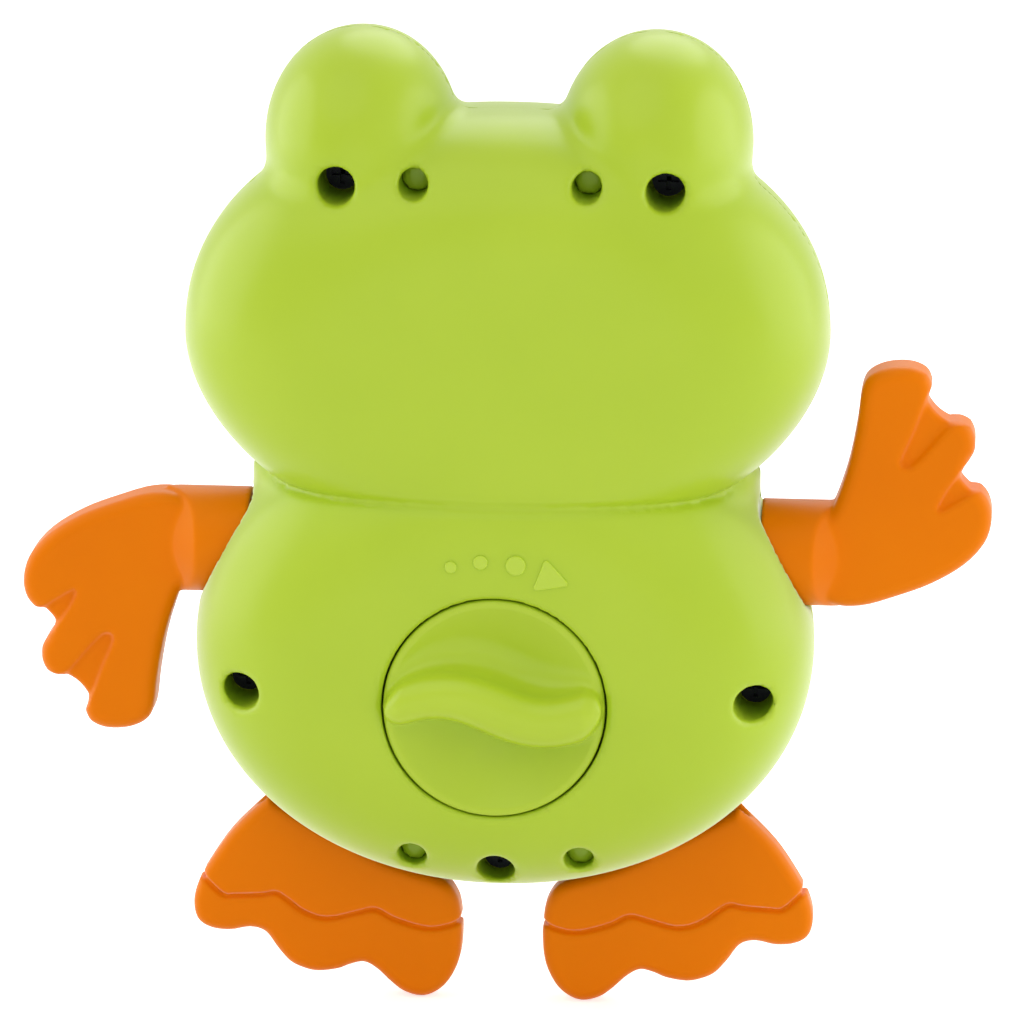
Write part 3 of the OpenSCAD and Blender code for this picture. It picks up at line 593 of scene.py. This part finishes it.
def settle(field, points, faces, step, rounds):
    """Evens out the quads and draws their corners on to the field's surface."""
    edges = np.concatenate([faces[:, [i, (i + 1) % 4]] for i in range(4)])
    h = PROBE
    for turn in range(rounds):
        if turn < rounds - 1:
            mean = np.zeros_like(points)
            links = np.zeros(len(points))
            for a, b in ((0, 1), (1, 0)):
                np.add.at(mean, edges[:, a], points[edges[:, b]])
                np.add.at(links, edges[:, a], 1)
            points = points * 0.5 + mean / links[:, None] * 0.5
        for _ in range(2):
            x, y, z = points.T
            value = field(x, y, z)
            slope = np.stack([
                field(x + h, y, z) - field(x - h, y, z),
                field(x, y + h, z) - field(x, y - h, z),
                field(x, y, z + h) - field(x, y, z - h),
            ], 1) / (2 * h)
            move = value[:, None] * slope / np.maximum((slope ** 2).sum(1), 0.05)[:, None]
            far = np.linalg.norm(move, axis=1)
            limit = np.minimum(1, 0.6 * step / np.maximum(far, 1e-9))
            points = points - move * limit[:, None]
    return points


def sharpen_rim(points, form, seam_y, step):
    """Draws the corners nearest a shell's rim on to it, and says which are near enough to be by it."""
    h = PROBE
    x, y, z = points.T
    off_rim = np.hypot(form(x, y, z), y - seam_y)
    near = off_rim < 0.5 * step
    rim = points[near]
    rim[:, 1] = seam_y
    for _ in range(3):
        x, y, z = rim.T
        value = form(x, y, z)
        gx = (form(x + h, y, z) - form(x - h, y, z)) / (2 * h)
        gz = (form(x, y, z + h) - form(x, y, z - h)) / (2 * h)
        steep = np.maximum(gx * gx + gz * gz, 0.05)
        rim[:, 0] -= value * gx / steep
        rim[:, 2] -= value * gz / steep
    points[near] = rim
    return off_rim < 1.5 * step


def moulded(name, field, low, high, step, material, transform=None, rim=None):
    """A mesh object of a distance field, smooth, with its place in its mesh."""
    points, faces = surface(field, low, high, step)
    points = settle(field, points, faces, step, 3)
    if rim is not None:
        by_rim = sharpen_rim(points, *rim, step)
    if transform is not None:
        points, faces = transform(points, faces)
    mesh = bpy.data.meshes.new(name)
    mesh.from_pydata((points * MM).tolist(), [], faces.tolist())
    mesh.validate()
    mesh.shade_smooth()
    if rim is not None:
        mesh.set_sharp_from_angle(angle=RIM_ANGLE)
        for edge in mesh.edges:
            if not (by_rim[edge.vertices[0]] and by_rim[edge.vertices[1]]):
                edge.use_edge_sharp = False
    mesh.materials.append(material)
    piece = bpy.data.objects.new(name, mesh)
    bpy.context.collection.objects.link(piece)
    return piece


def keep_bounce_off(piece):
    """Keeps a limb's mirror image off the casing, as in the photograph's even light."""
    piece.visible_glossy = False


def mirrored(points, faces):
    """The mirror image across the middle plane."""
    return points * np.array([-1, 1, 1]), faces[:, ::-1]


def opposite_arm(points, faces):
    """The mirror image, turned half round the arms' axle."""
    turned = points * np.array([-1, -1, -1]) + np.array([0, 0, 2 * ARM_Z])
    return turned, faces[:, ::-1]


# Materials
def add(tree, kind, settings, links):
    """Adds a node, sets its values and links its inputs."""
    node = tree.nodes.new(kind)
    for name, value in settings.items():
        if isinstance(name, str) and hasattr(node, name):
            setattr(node, name, value)
        else:
            node.inputs[name].default_value = value
    for name, source in links.items():
        tree.links.new(source, node.inputs[name])
    return node


def new_material(name):
    """A material with its node tree and shader."""
    material = bpy.data.materials.new(name)
    material.use_nodes = True
    tree = material.node_tree
    shader = tree.nodes["Principled BSDF"]
    return material, tree, shader


def moulded_plastic(name, light, dark, roughness, specular, scatter, grain_mm, sheen=(1, 1, 1)):
    """Injection-moulded plastic: even colour with a faint flow, a soft gloss and a fine mould grain."""
    material, tree, shader = new_material(name)
    place = add(tree, "ShaderNodeTexCoord", {}, {})
    flow = add(tree, "ShaderNodeTexNoise", {"Scale": 1 / (22 * MM), "Detail": 2.0, "Roughness": 0.4},
               {"Vector": place.outputs["Object"]})
    tint = add(tree, "ShaderNodeValToRGB", {}, {"Fac": flow.outputs["Fac"]})
    tint.color_ramp.elements[0].position = 0.3
    tint.color_ramp.elements[0].color = (*linear(dark), 1)
    tint.color_ramp.elements[1].position = 0.7
    tint.color_ramp.elements[1].color = (*linear(light), 1)
    tree.links.new(tint.outputs["Color"], shader.inputs["Base Color"])
    grain = add(tree, "ShaderNodeTexNoise", {"Scale": 1 / (grain_mm * MM), "Detail": 3.0, "Roughness": 0.6},
                {"Vector": place.outputs["Object"]})
    gloss = add(tree, "ShaderNodeMapRange", {"To Min": roughness - 0.05, "To Max": roughness + 0.07},
                {"Value": grain.outputs["Fac"]})
    tree.links.new(gloss.outputs["Result"], shader.inputs["Roughness"])
    bump = add(tree, "ShaderNodeBump", {"Strength": 0.12, "Distance": 0.02 * MM},
               {"Height": grain.outputs["Fac"]})
    tree.links.new(bump.outputs["Normal"], shader.inputs["Normal"])
    shader.inputs["IOR"].default_value = 1.5
    shader.inputs["Specular IOR Level"].default_value = specular
    shader.inputs["Specular Tint"].default_value = (*sheen, 1)
    shader.inputs["Subsurface Weight"].default_value = scatter
    shader.inputs["Subsurface Radius"].default_value = (1.0, 0.8, 0.3)
    shader.inputs["Subsurface Scale"].default_value = 1.6 * MM
    return material


def worked_metal(name, colour, roughness, line_mm, axis):
    """Drawn or turned metal: fine lines along one axis that break up its reflections."""
    material, tree, shader = new_material(name)
    place = add(tree, "ShaderNodeTexCoord", {}, {})
    stretch = [1.0, 1.0, 1.0]
    stretch[axis] = 0.05
    run = add(tree, "ShaderNodeMapping", {"Scale": stretch}, {"Vector": place.outputs["Object"]})
    lines = add(tree, "ShaderNodeTexNoise", {"Scale": 1 / (line_mm * MM), "Detail": 2.0},
                {"Vector": run.outputs["Vector"]})
    gloss = add(tree, "ShaderNodeMapRange", {"To Min": roughness - 0.08, "To Max": roughness + 0.1},
                {"Value": lines.outputs["Fac"]})
    tree.links.new(gloss.outputs["Result"], shader.inputs["Roughness"])
    bump = add(tree, "ShaderNodeBump", {"Strength": 0.25, "Distance": 0.02 * MM},
               {"Height": lines.outputs["Fac"]})
    tree.links.new(bump.outputs["Normal"], shader.inputs["Normal"])
    shader.inputs["Base Color"].default_value = (*linear(colour), 1)
    shader.inputs["Metallic"].default_value = 1
    return material


def nitrile_rubber(name):
    """Moulded nitrile: near black, matte, with a slightly powdery grain."""
    material, tree, shader = new_material(name)
    place = add(tree, "ShaderNodeTexCoord", {}, {})
    grain = add(tree, "ShaderNodeTexNoise", {"Scale": 1 / (0.25 * MM), "Detail": 4.0},
                {"Vector": place.outputs["Object"]})
    bump = add(tree, "ShaderNodeBump", {"Strength": 0.3, "Distance": 0.03 * MM},
               {"Height": grain.outputs["Fac"]})
    tree.links.new(bump.outputs["Normal"], shader.inputs["Normal"])
    shader.inputs["Base Color"].default_value = (*linear("#232323"), 1)
    shader.inputs["Roughness"].default_value = 0.75
    return material


# Light and dark colour, roughness, specular level, light inside the wall, grain in millimetres, gloss's tint
PLASTICS = {
    # ABS from a polished mould: saturated lime with a soft gloss and a little light inside its wall
    "lime_moulded_abs": ("#B4CE31", "#AFCA2C", 0.3, 0.36, 0.12, 0.35),
    # the same ABS on the raised marks, where the mould is polished most, in a lighter lime that is a painted
    # highlight
    "lime_polished_painted_highlight_abs": ("#BCD63C", "#B8D238", 0.2, 0.4, 0.12, 0.35),
    # the same ABS for the key, with a little more gloss and a lighter lime that is painted light on its
    # ridge
    "lime_key_painted_light_abs": ("#B7D032", "#B1CA2E", 0.3, 0.4, 0.1, 0.35),
    # a softer polypropylene for arms and feet: deep orange, with a gloss that leans to yellow
    "orange_moulded_pp": ("#EE7C00", "#E87600", 0.4, 0.25, 0.12, 0.3, (0.8, 0.8, 0.3)),
    # hard glossy ABS for the eyes and pupils
    "white_moulded_abs": ("#F4F4EE", "#EEEEE6", 0.22, 0.5, 0.05, 0.3),
    "black_moulded_abs": ("#141414", "#0E0E0E", 0.15, 0.5, 0, 0.3),
    # acetal for small gears: milky, neither matte nor glossy
    "acetal_gear_plastic": ("#EFEBDC", "#E6E1CF", 0.4, 0.4, 0.1, 0.2),
    # plain off-white ABS for the clockwork's case
    "case_moulded_abs": ("#DCDCD6", "#D2D2CA", 0.42, 0.4, 0.05, 0.4),
}
# Colour, roughness, spacing of the lines in millimetres, axis that they run along
METALS = {
    # drawn stainless for shafts and pins, with lines along them
    "drawn_stainless_x": ("#B9BABB", 0.28, 0.12, 0),
    "drawn_stainless_y": ("#B9BABB", 0.28, 0.12, 1),
    "blued_spring_steel": ("#8A93A3", 0.3, 0.15, 0),
    "zinc_plated_steel": ("#A9ABA8", 0.36, 0.2, 1),
    # steel made nearly black, as painted shade for the dark deep in the screws' wells
    "screw_steel_painted_shade": ("#1E1F22", 0.35, 0.2, 1),
    "stamped_brass": ("#C9A24B", 0.3, 0.15, 0),
}


def finish(name):
    """The named finish, made once."""
    if name in bpy.data.materials:
        return bpy.data.materials[name]
    if name in PLASTICS:
        return moulded_plastic(name, *PLASTICS[name])
    if name in METALS:
        return worked_metal(name, *METALS[name])
    return nitrile_rubber(name)


# Screws
def screw_tree(name, material):
    """Geometry nodes that put a cross-head self-tapping screw on each point, its head towards -Y."""
    tree = bpy.data.node_groups.new(name, "GeometryNodeTree")
    tree.interface.new_socket("Geometry", in_out="INPUT", socket_type="NodeSocketGeometry")
    for label in ("Head Radius", "Head Height", "Shank Radius", "Shank Length", "Recess Width"):
        tree.interface.new_socket(label, in_out="INPUT", socket_type="NodeSocketFloat")
    tree.interface.new_socket("Geometry", in_out="OUTPUT", socket_type="NodeSocketGeometry")
    given = add(tree, "NodeGroupInput", {}, {}).outputs
    out = add(tree, "NodeGroupOutput", {}, {})

    def share(label, factor):
        """A share of one of the screw's sizes."""
        settings = {"operation": "MULTIPLY", 1: factor}
        return add(tree, "ShaderNodeMath", settings, {0: given[label]}).outputs[0]

    def lifted(geometry, height):
        """Geometry moved along the screw's axis."""
        move = add(tree, "ShaderNodeCombineXYZ", {}, {"Z": height}).outputs[0]
        return add(tree, "GeometryNodeTransform", {}, {"Geometry": geometry, "Translation": move}).outputs[0]

    head = add(tree, "GeometryNodeMeshCylinder", {"Vertices": 40, "Side Segments": 1},
               {"Radius": given["Head Radius"], "Depth": given["Head Height"]})
    head = lifted(head.outputs["Mesh"], share("Head Height", 0.5))
    cut = add(tree, "GeometryNodeMeshBoolean", {"operation": "DIFFERENCE"}, {"Mesh 1": head})
    across = share("Head Radius", 1.3)
    deep = share("Head Height", 1.1)
    for a, b in ((across, given["Recess Width"]), (given["Recess Width"], across)):
        size = add(tree, "ShaderNodeCombineXYZ", {}, {"X": a, "Y": b, "Z": deep})
        bar = add(tree, "GeometryNodeMeshCube", {}, {"Size": size.outputs[0]})
        tree.links.new(lifted(bar.outputs["Mesh"], given["Head Height"]), cut.inputs["Mesh 2"])
    shank = add(tree, "GeometryNodeMeshCylinder", {"Vertices": 24, "Side Segments": 1},
                {"Radius": share("Shank Radius", 0.8), "Depth": given["Shank Length"]})
    shank = lifted(shank.outputs["Mesh"], share("Shank Length", -0.5))
    helix = add(tree, "GeometryNodeCurveSpiral", {"Resolution": 20, "Rotations": 9},
                {"Start Radius": share("Shank Radius", 0.84), "End Radius": share("Shank Radius", 0.84),
                 "Height": share("Shank Length", 0.88)})
    ridge = add(tree, "GeometryNodeCurvePrimitiveCircle", {"Resolution": 3},
                {"Radius": share("Shank Radius", 0.15)})
    thread = add(tree, "GeometryNodeCurveToMesh", {"Fill Caps": True},
                 {"Curve": helix.outputs[0], "Profile Curve": ridge.outputs[0]})
    thread = lifted(thread.outputs[0], share("Shank Length", -0.96))
    screw = add(tree, "GeometryNodeJoinGeometry", {}, {})
    for piece in (cut.outputs["Mesh"], shank, thread):
        tree.links.new(piece, screw.inputs[0])
    turned = add(tree, "GeometryNodeTransform", {"Rotation": (math.radians(90), 0, 0)},
                 {"Geometry": screw.outputs[0]})
    placed = add(tree, "GeometryNodeInstanceOnPoints", {},
                 {"Points": given["Geometry"], "Instance": turned.outputs[0]})
    real = add(tree, "GeometryNodeRealizeInstances", {}, {"Geometry": placed.outputs[0]})
    flat = add(tree, "GeometryNodeSetShadeSmooth", {"Shade Smooth": False}, {"Geometry": real.outputs[0]})
    dressed = add(tree, "GeometryNodeSetMaterial", {"Material": material}, {"Geometry": flat.outputs[0]})
    tree.links.new(dressed.outputs[0], out.inputs[0])
    return tree


def screws(name, places, sizes):
    """A plain mesh of one screw on each place."""
    mesh = bpy.data.meshes.new(name + "_points")
    mesh.from_pydata([tuple(np.array(p) * MM) for p in places], [], [])
    holder = bpy.data.objects.new(name + "_points", mesh)
    bpy.context.collection.objects.link(holder)
    # the screws' near-black steel is painted shade for the deep wells they sit in
    tree = screw_tree(name + "_nodes", finish("screw_steel_painted_shade"))
    nodes = holder.modifiers.new("Screws", "NODES")
    nodes.node_group = tree
    for item in tree.interface.items_tree:
        if item.in_out == "INPUT" and item.name in sizes:
            nodes[item.identifier] = sizes[item.name] * MM
    bpy.context.view_layer.update()
    graph = bpy.context.evaluated_depsgraph_get()
    made = bpy.data.meshes.new_from_object(holder.evaluated_get(graph), depsgraph=graph)
    bpy.data.objects.remove(holder)
    made.name = name
    piece = bpy.data.objects.new(name, made)
    bpy.context.collection.objects.link(piece)
    return piece


# Properties
class FrogSizes(bpy.types.PropertyGroup):
    """Sizes of the moulded pieces' meshes"""

    shell_step: FloatProperty(
        name="Shell grid", description="Grid of the shells' meshes, in millimetres",
        default=0.64, min=0.5, max=1.5)
    limb_step: FloatProperty(
        name="Limb grid", description="Grid of the arms', feet's and key's meshes, in millimetres",
        default=0.38, min=0.3, max=1.0)


class FrogStage(bpy.types.PropertyGroup):
    """Floor, light and camera"""

    floor_colour: FloatVectorProperty(
        name="Floor", description="Colour of the floor", subtype="COLOR", size=3,
        default=linear("#F7F7F5"), min=0, max=1)
    world_level: FloatProperty(
        name="World", description="Strength of the light from all round", default=0.5, min=0, max=2)


# Operators
class FROG_OT_back_shell(bpy.types.Operator):
    """Model the back half of the casing"""

    bl_idname = "frog.back_shell"
    bl_label = "Back Shell"

    def execute(self, context):
        step = context.scene.frog_sizes.shell_step
        piece = moulded("back_shell_moulding", back_field, SHELL_LOW, SHELL_HIGH, step,
                        finish("lime_moulded_abs"), rim=(back_form, -SEAM))
        low = (-8, -BACK_Y - 0.6, KEY_Z + 14)
        high = (11, -BACK_Y + 0.6, KEY_Z + 22)
        # the marks' lighter lime is a painted highlight on the raised marks
        marks = moulded("direction_marks", marks_field, low, high, MARK_STEP, finish("lime_polished_painted_highlight_abs"))
        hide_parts("back_shell")
        for shape in (piece, marks):
            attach(shape, "casing")
        return {"FINISHED"}


class FROG_OT_front_shell(bpy.types.Operator):
    """Model the front half of the casing"""

    bl_idname = "frog.front_shell"
    bl_label = "Front Shell"

    def execute(self, context):
        step = context.scene.frog_sizes.shell_step
        piece = moulded("front_shell_moulding", front_field, FRONT_LOW, FRONT_HIGH, step,
                        finish("lime_moulded_abs"), rim=(front_form, SEAM))
        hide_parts("front_shell")
        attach(piece, "casing")
        return {"FINISHED"}


class FROG_OT_key(bpy.types.Operator):
    """Model the winding key with its dish and ridge"""

    bl_idname = "frog.key"
    bl_label = "Winding Key"

    def execute(self, context):
        step = context.scene.frog_sizes.limb_step
        # the key's lime is lighter than the shell's: painted light on its ridge
        piece = moulded("winding_key_moulding", key_field, KEY_LOW, KEY_HIGH, step, finish("lime_key_painted_light_abs"))
        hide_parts("winding_key")
        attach(piece, "key_group")
        return {"FINISHED"}


class FROG_OT_arms(bpy.types.Operator):
    """Model both arms with their webbed hands"""

    bl_idname = "frog.arms"
    bl_label = "Arms"

    def execute(self, context):
        step = context.scene.frog_sizes.limb_step
        for name, node, turn in (("left_hand_moulding", "left_arm", None),
                                 ("right_hand_moulding", "right_arm", opposite_arm)):
            piece = moulded(name, hand_field, ARM_LOW, ARM_HIGH, step, finish("orange_moulded_pp"), turn)
            keep_bounce_off(piece)
            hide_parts(node)
            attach(piece, "arms")
        return {"FINISHED"}


class FROG_OT_feet(bpy.types.Operator):
    """Model both three-toed feet"""

    bl_idname = "frog.feet"
    bl_label = "Feet"

    def execute(self, context):
        step = context.scene.frog_sizes.limb_step
        for side, turn in (("left", mirrored), ("right", None)):
            piece = moulded(side + "_flipper_moulding", foot_field, FOOT_LOW, FOOT_HIGH, step,
                            finish("orange_moulded_pp"), turn)
            keep_bounce_off(piece)
            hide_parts(side + "_foot")
            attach(piece, side + "_flipper")
        return {"FINISHED"}


class FROG_OT_screws(bpy.types.Operator):
    """Put cross-head screws in the shells' wells"""

    bl_idname = "frog.screws"
    bl_label = "Screws"

    def execute(self, context):
        places = [(x, WELL_FLOOR_Y, z) for x, z in SCREW_PLACES]
        sizes = {"Head Radius": SCREW_HEAD_R, "Head Height": 1.5, "Shank Radius": 1.2, "Shank Length": 10,
                 "Recess Width": 0.6}
        piece = screws("cross_head_screws", places, sizes)
        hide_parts("shell_screws")
        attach(piece, "casing")
        return {"FINISHED"}


class FROG_OT_clockwork(bpy.types.Operator):
    """Give the eyes, shafts, gears, spring, case and seals their finishes"""

    bl_idname = "frog.clockwork"
    bl_label = "Eyes and Clockwork"

    def execute(self, context):
        finishes = {
            "white_moulded_abs": ("left_eye", "right_eye"),
            "black_moulded_abs": ("left_pupil", "right_pupil"),
            "drawn_stainless_y": ("key_arbor", "crown_pin", "ratchet_wheel", "click"),
            "drawn_stainless_x": ("arm_axle", "left_foot_pin", "right_foot_pin"),
            "stamped_brass": ("great_wheel", "left_bush", "right_bush"),
            "blued_spring_steel": ("mainspring",),
            "zinc_plated_steel": ("motor_screws",),
            "acetal_gear_plastic": ("crown_wheel", "drive_pinion"),
            "case_moulded_abs": ("motor_case", "motor_cover"),
            "nitrile_rubber": ("key_seal", "motor_gasket", "left_axle_seal", "right_axle_seal"),
        }
        for name, nodes in finishes.items():
            for node in nodes:
                solid = frame["nodes"][node]
                for slot in solid.material_slots:
                    slot.material = finish(name)
        return {"FINISHED"}


class FROG_OT_stage(bpy.types.Operator):
    """Set the floor, the soft light and the camera"""

    bl_idname = "frog.stage"
    bl_label = "Stage"

    def execute(self, context):
        scene = context.scene
        lay_floor(scene.frog_stage.floor_colour)
        light_room(scene, scene.frog_stage.world_level)
        aim_camera(scene)
        scene.view_settings.view_transform = "Standard"
        return {"FINISHED"}


def seen_rays(tree):
    """One where a ray is seen by the camera, in a reflection or through glass."""
    path = add(tree, "ShaderNodeLightPath", {}, {})
    seen = add(tree, "ShaderNodeMath", {"operation": "MAXIMUM"},
               {0: path.outputs["Is Camera Ray"], 1: path.outputs["Is Glossy Ray"]})
    return add(tree, "ShaderNodeMath", {"operation": "MAXIMUM"},
               {0: seen.outputs[0], 1: path.outputs["Is Transmission Ray"]}).outputs[0]


def lay_floor(colour):
    """A pale floor just under the toes, which looks white to the camera and keeps the frog's shadow."""
    glow = 0.6
    half = 6
    gap = 0.0002
    material, tree, shader = new_material("pale_floor")
    shader.inputs["Base Color"].default_value = (*colour, 1)
    shader.inputs["Roughness"].default_value = 0.9
    shader.inputs["Emission Color"].default_value = (1, 1, 1, 1)
    lift = add(tree, "ShaderNodeMath", {"operation": "MULTIPLY", 1: glow}, {0: seen_rays(tree)})
    tree.links.new(lift.outputs[0], shader.inputs["Emission Strength"])
    mesh = bpy.data.meshes.new("floor")
    corners = [(-half, -half, 0), (half, -half, 0), (half, half, 0), (-half, half, 0)]
    mesh.from_pydata(corners, [], [(0, 1, 2, 3)])
    mesh.materials.append(material)
    floor = bpy.data.objects.new("floor", mesh)
    floor.location.z = CAD_BOX[0][2] - gap
    bpy.context.collection.objects.link(floor)


# The lamps whose mirror images show on the plastic
SEEN_IN_GLOSS = ("left_softbox", "right_softbox", "rim_softbox", "key_softbox")


def light_room(scene, level):
    """A soft white room, with six softboxes given by name, place, size and power."""
    world = bpy.data.worlds.new("soft_room")
    scene.world = world
    world.use_nodes = True
    tree = world.node_tree
    sky = tree.nodes["Background"]
    sky.inputs["Color"].default_value = (1, 1, 1, 1)
    mix = add(tree, "ShaderNodeMapRange", {"To Min": level, "To Max": 1.0}, {"Value": seen_rays(tree)})
    tree.links.new(mix.outputs["Result"], sky.inputs["Strength"])
    middle = Vector((0, 0, 0.065))
    lamps = (
        ("key_softbox", (-0.3, -0.5, 0.95), 1.2, 2.2),
        ("fill_softbox", (0.7, -0.7, 0.5), 0.9, 1.2),
        ("low_softbox", (0.0, -0.95, 0.05), 0.6, 1.5),
        ("left_softbox", (-0.75, 0.1, 0.22), 0.9, 3.2),
        ("right_softbox", (0.75, 0.1, 0.22), 0.9, 3.2),
        ("rim_softbox", (0.1, 0.6, 0.7), 0.7, 2.0),
    )
    for name, place, size, power in lamps:
        lamp = bpy.data.lights.new(name, "AREA")
        lamp.shape = "DISK"
        lamp.size = size
        lamp.energy = power
        lamp_object = bpy.data.objects.new(name, lamp)
        lamp_object.location = place
        lamp_object.rotation_euler = (middle - Vector(place)).to_track_quat("-Z", "Y").to_euler()
        lamp_object.visible_glossy = name in SEEN_IN_GLOSS
        bpy.context.collection.objects.link(lamp_object)


def aim_camera(scene):
    """The photograph's view: from the back, a little above and to the right, with a slight roll."""
    azimuth = math.radians(4)
    elevation = math.radians(13)
    roll = math.radians(0.45)
    distance = 0.95
    width = 0.1325             # width of the view at the frog
    target = Vector((0.0004, 0, 0.0654))
    away = Vector((math.sin(azimuth) * math.cos(elevation), -math.cos(azimuth) * math.cos(elevation),
                   math.sin(elevation)))
    camera = bpy.data.cameras.new("camera")
    camera.sensor_fit = "HORIZONTAL"
    camera.sensor_width = 36
    camera.lens = camera.sensor_width * distance / width
    holder = bpy.data.objects.new("camera", camera)
    holder.location = target + away * distance
    holder.rotation_mode = "QUATERNION"
    holder.rotation_quaternion = Quaternion(away, roll) @ (-away).to_track_quat("-Z", "Y")
    bpy.context.collection.objects.link(holder)
    scene.camera = holder


class FROG_PT_panel(bpy.types.Panel):
    """The frog's pieces"""

    bl_label = "Wind-up Frog"
    bl_idname = "FROG_PT_panel"
    bl_space_type = "VIEW_3D"
    bl_region_type = "UI"
    bl_category = "Frog"

    def draw(self, context):
        self.layout.prop(context.scene.frog_sizes, "shell_step")
        self.layout.prop(context.scene.frog_sizes, "limb_step")
        self.layout.prop(context.scene.frog_stage, "floor_colour")
        self.layout.prop(context.scene.frog_stage, "world_level")
        for operator in OPERATORS:
            self.layout.operator(operator.bl_idname)


OPERATORS = (
    FROG_OT_back_shell, FROG_OT_front_shell, FROG_OT_key, FROG_OT_arms, FROG_OT_feet, FROG_OT_screws,
    FROG_OT_clockwork, FROG_OT_stage,
)
GROUPS = {"frog_sizes": FrogSizes, "frog_stage": FrogStage}


def register():
    for group in GROUPS.values():
        bpy.utils.register_class(group)
    for name, group in GROUPS.items():
        setattr(bpy.types.Scene, name, PointerProperty(type=group))
    for operator in OPERATORS:
        bpy.utils.register_class(operator)
    bpy.utils.register_class(FROG_PT_panel)


def unregister():
    bpy.utils.unregister_class(FROG_PT_panel)
    for operator in reversed(OPERATORS):
        bpy.utils.unregister_class(operator)
    for name, group in GROUPS.items():
        delattr(bpy.types.Scene, name)
        bpy.utils.unregister_class(group)


def main():
    register()
    bpy.ops.frog.back_shell()
    bpy.ops.frog.front_shell()
    bpy.ops.frog.key()
    bpy.ops.frog.arms()
    bpy.ops.frog.feet()
    bpy.ops.frog.screws()
    bpy.ops.frog.clockwork()
    bpy.ops.frog.stage()


if __name__ == "__main__":
    main()
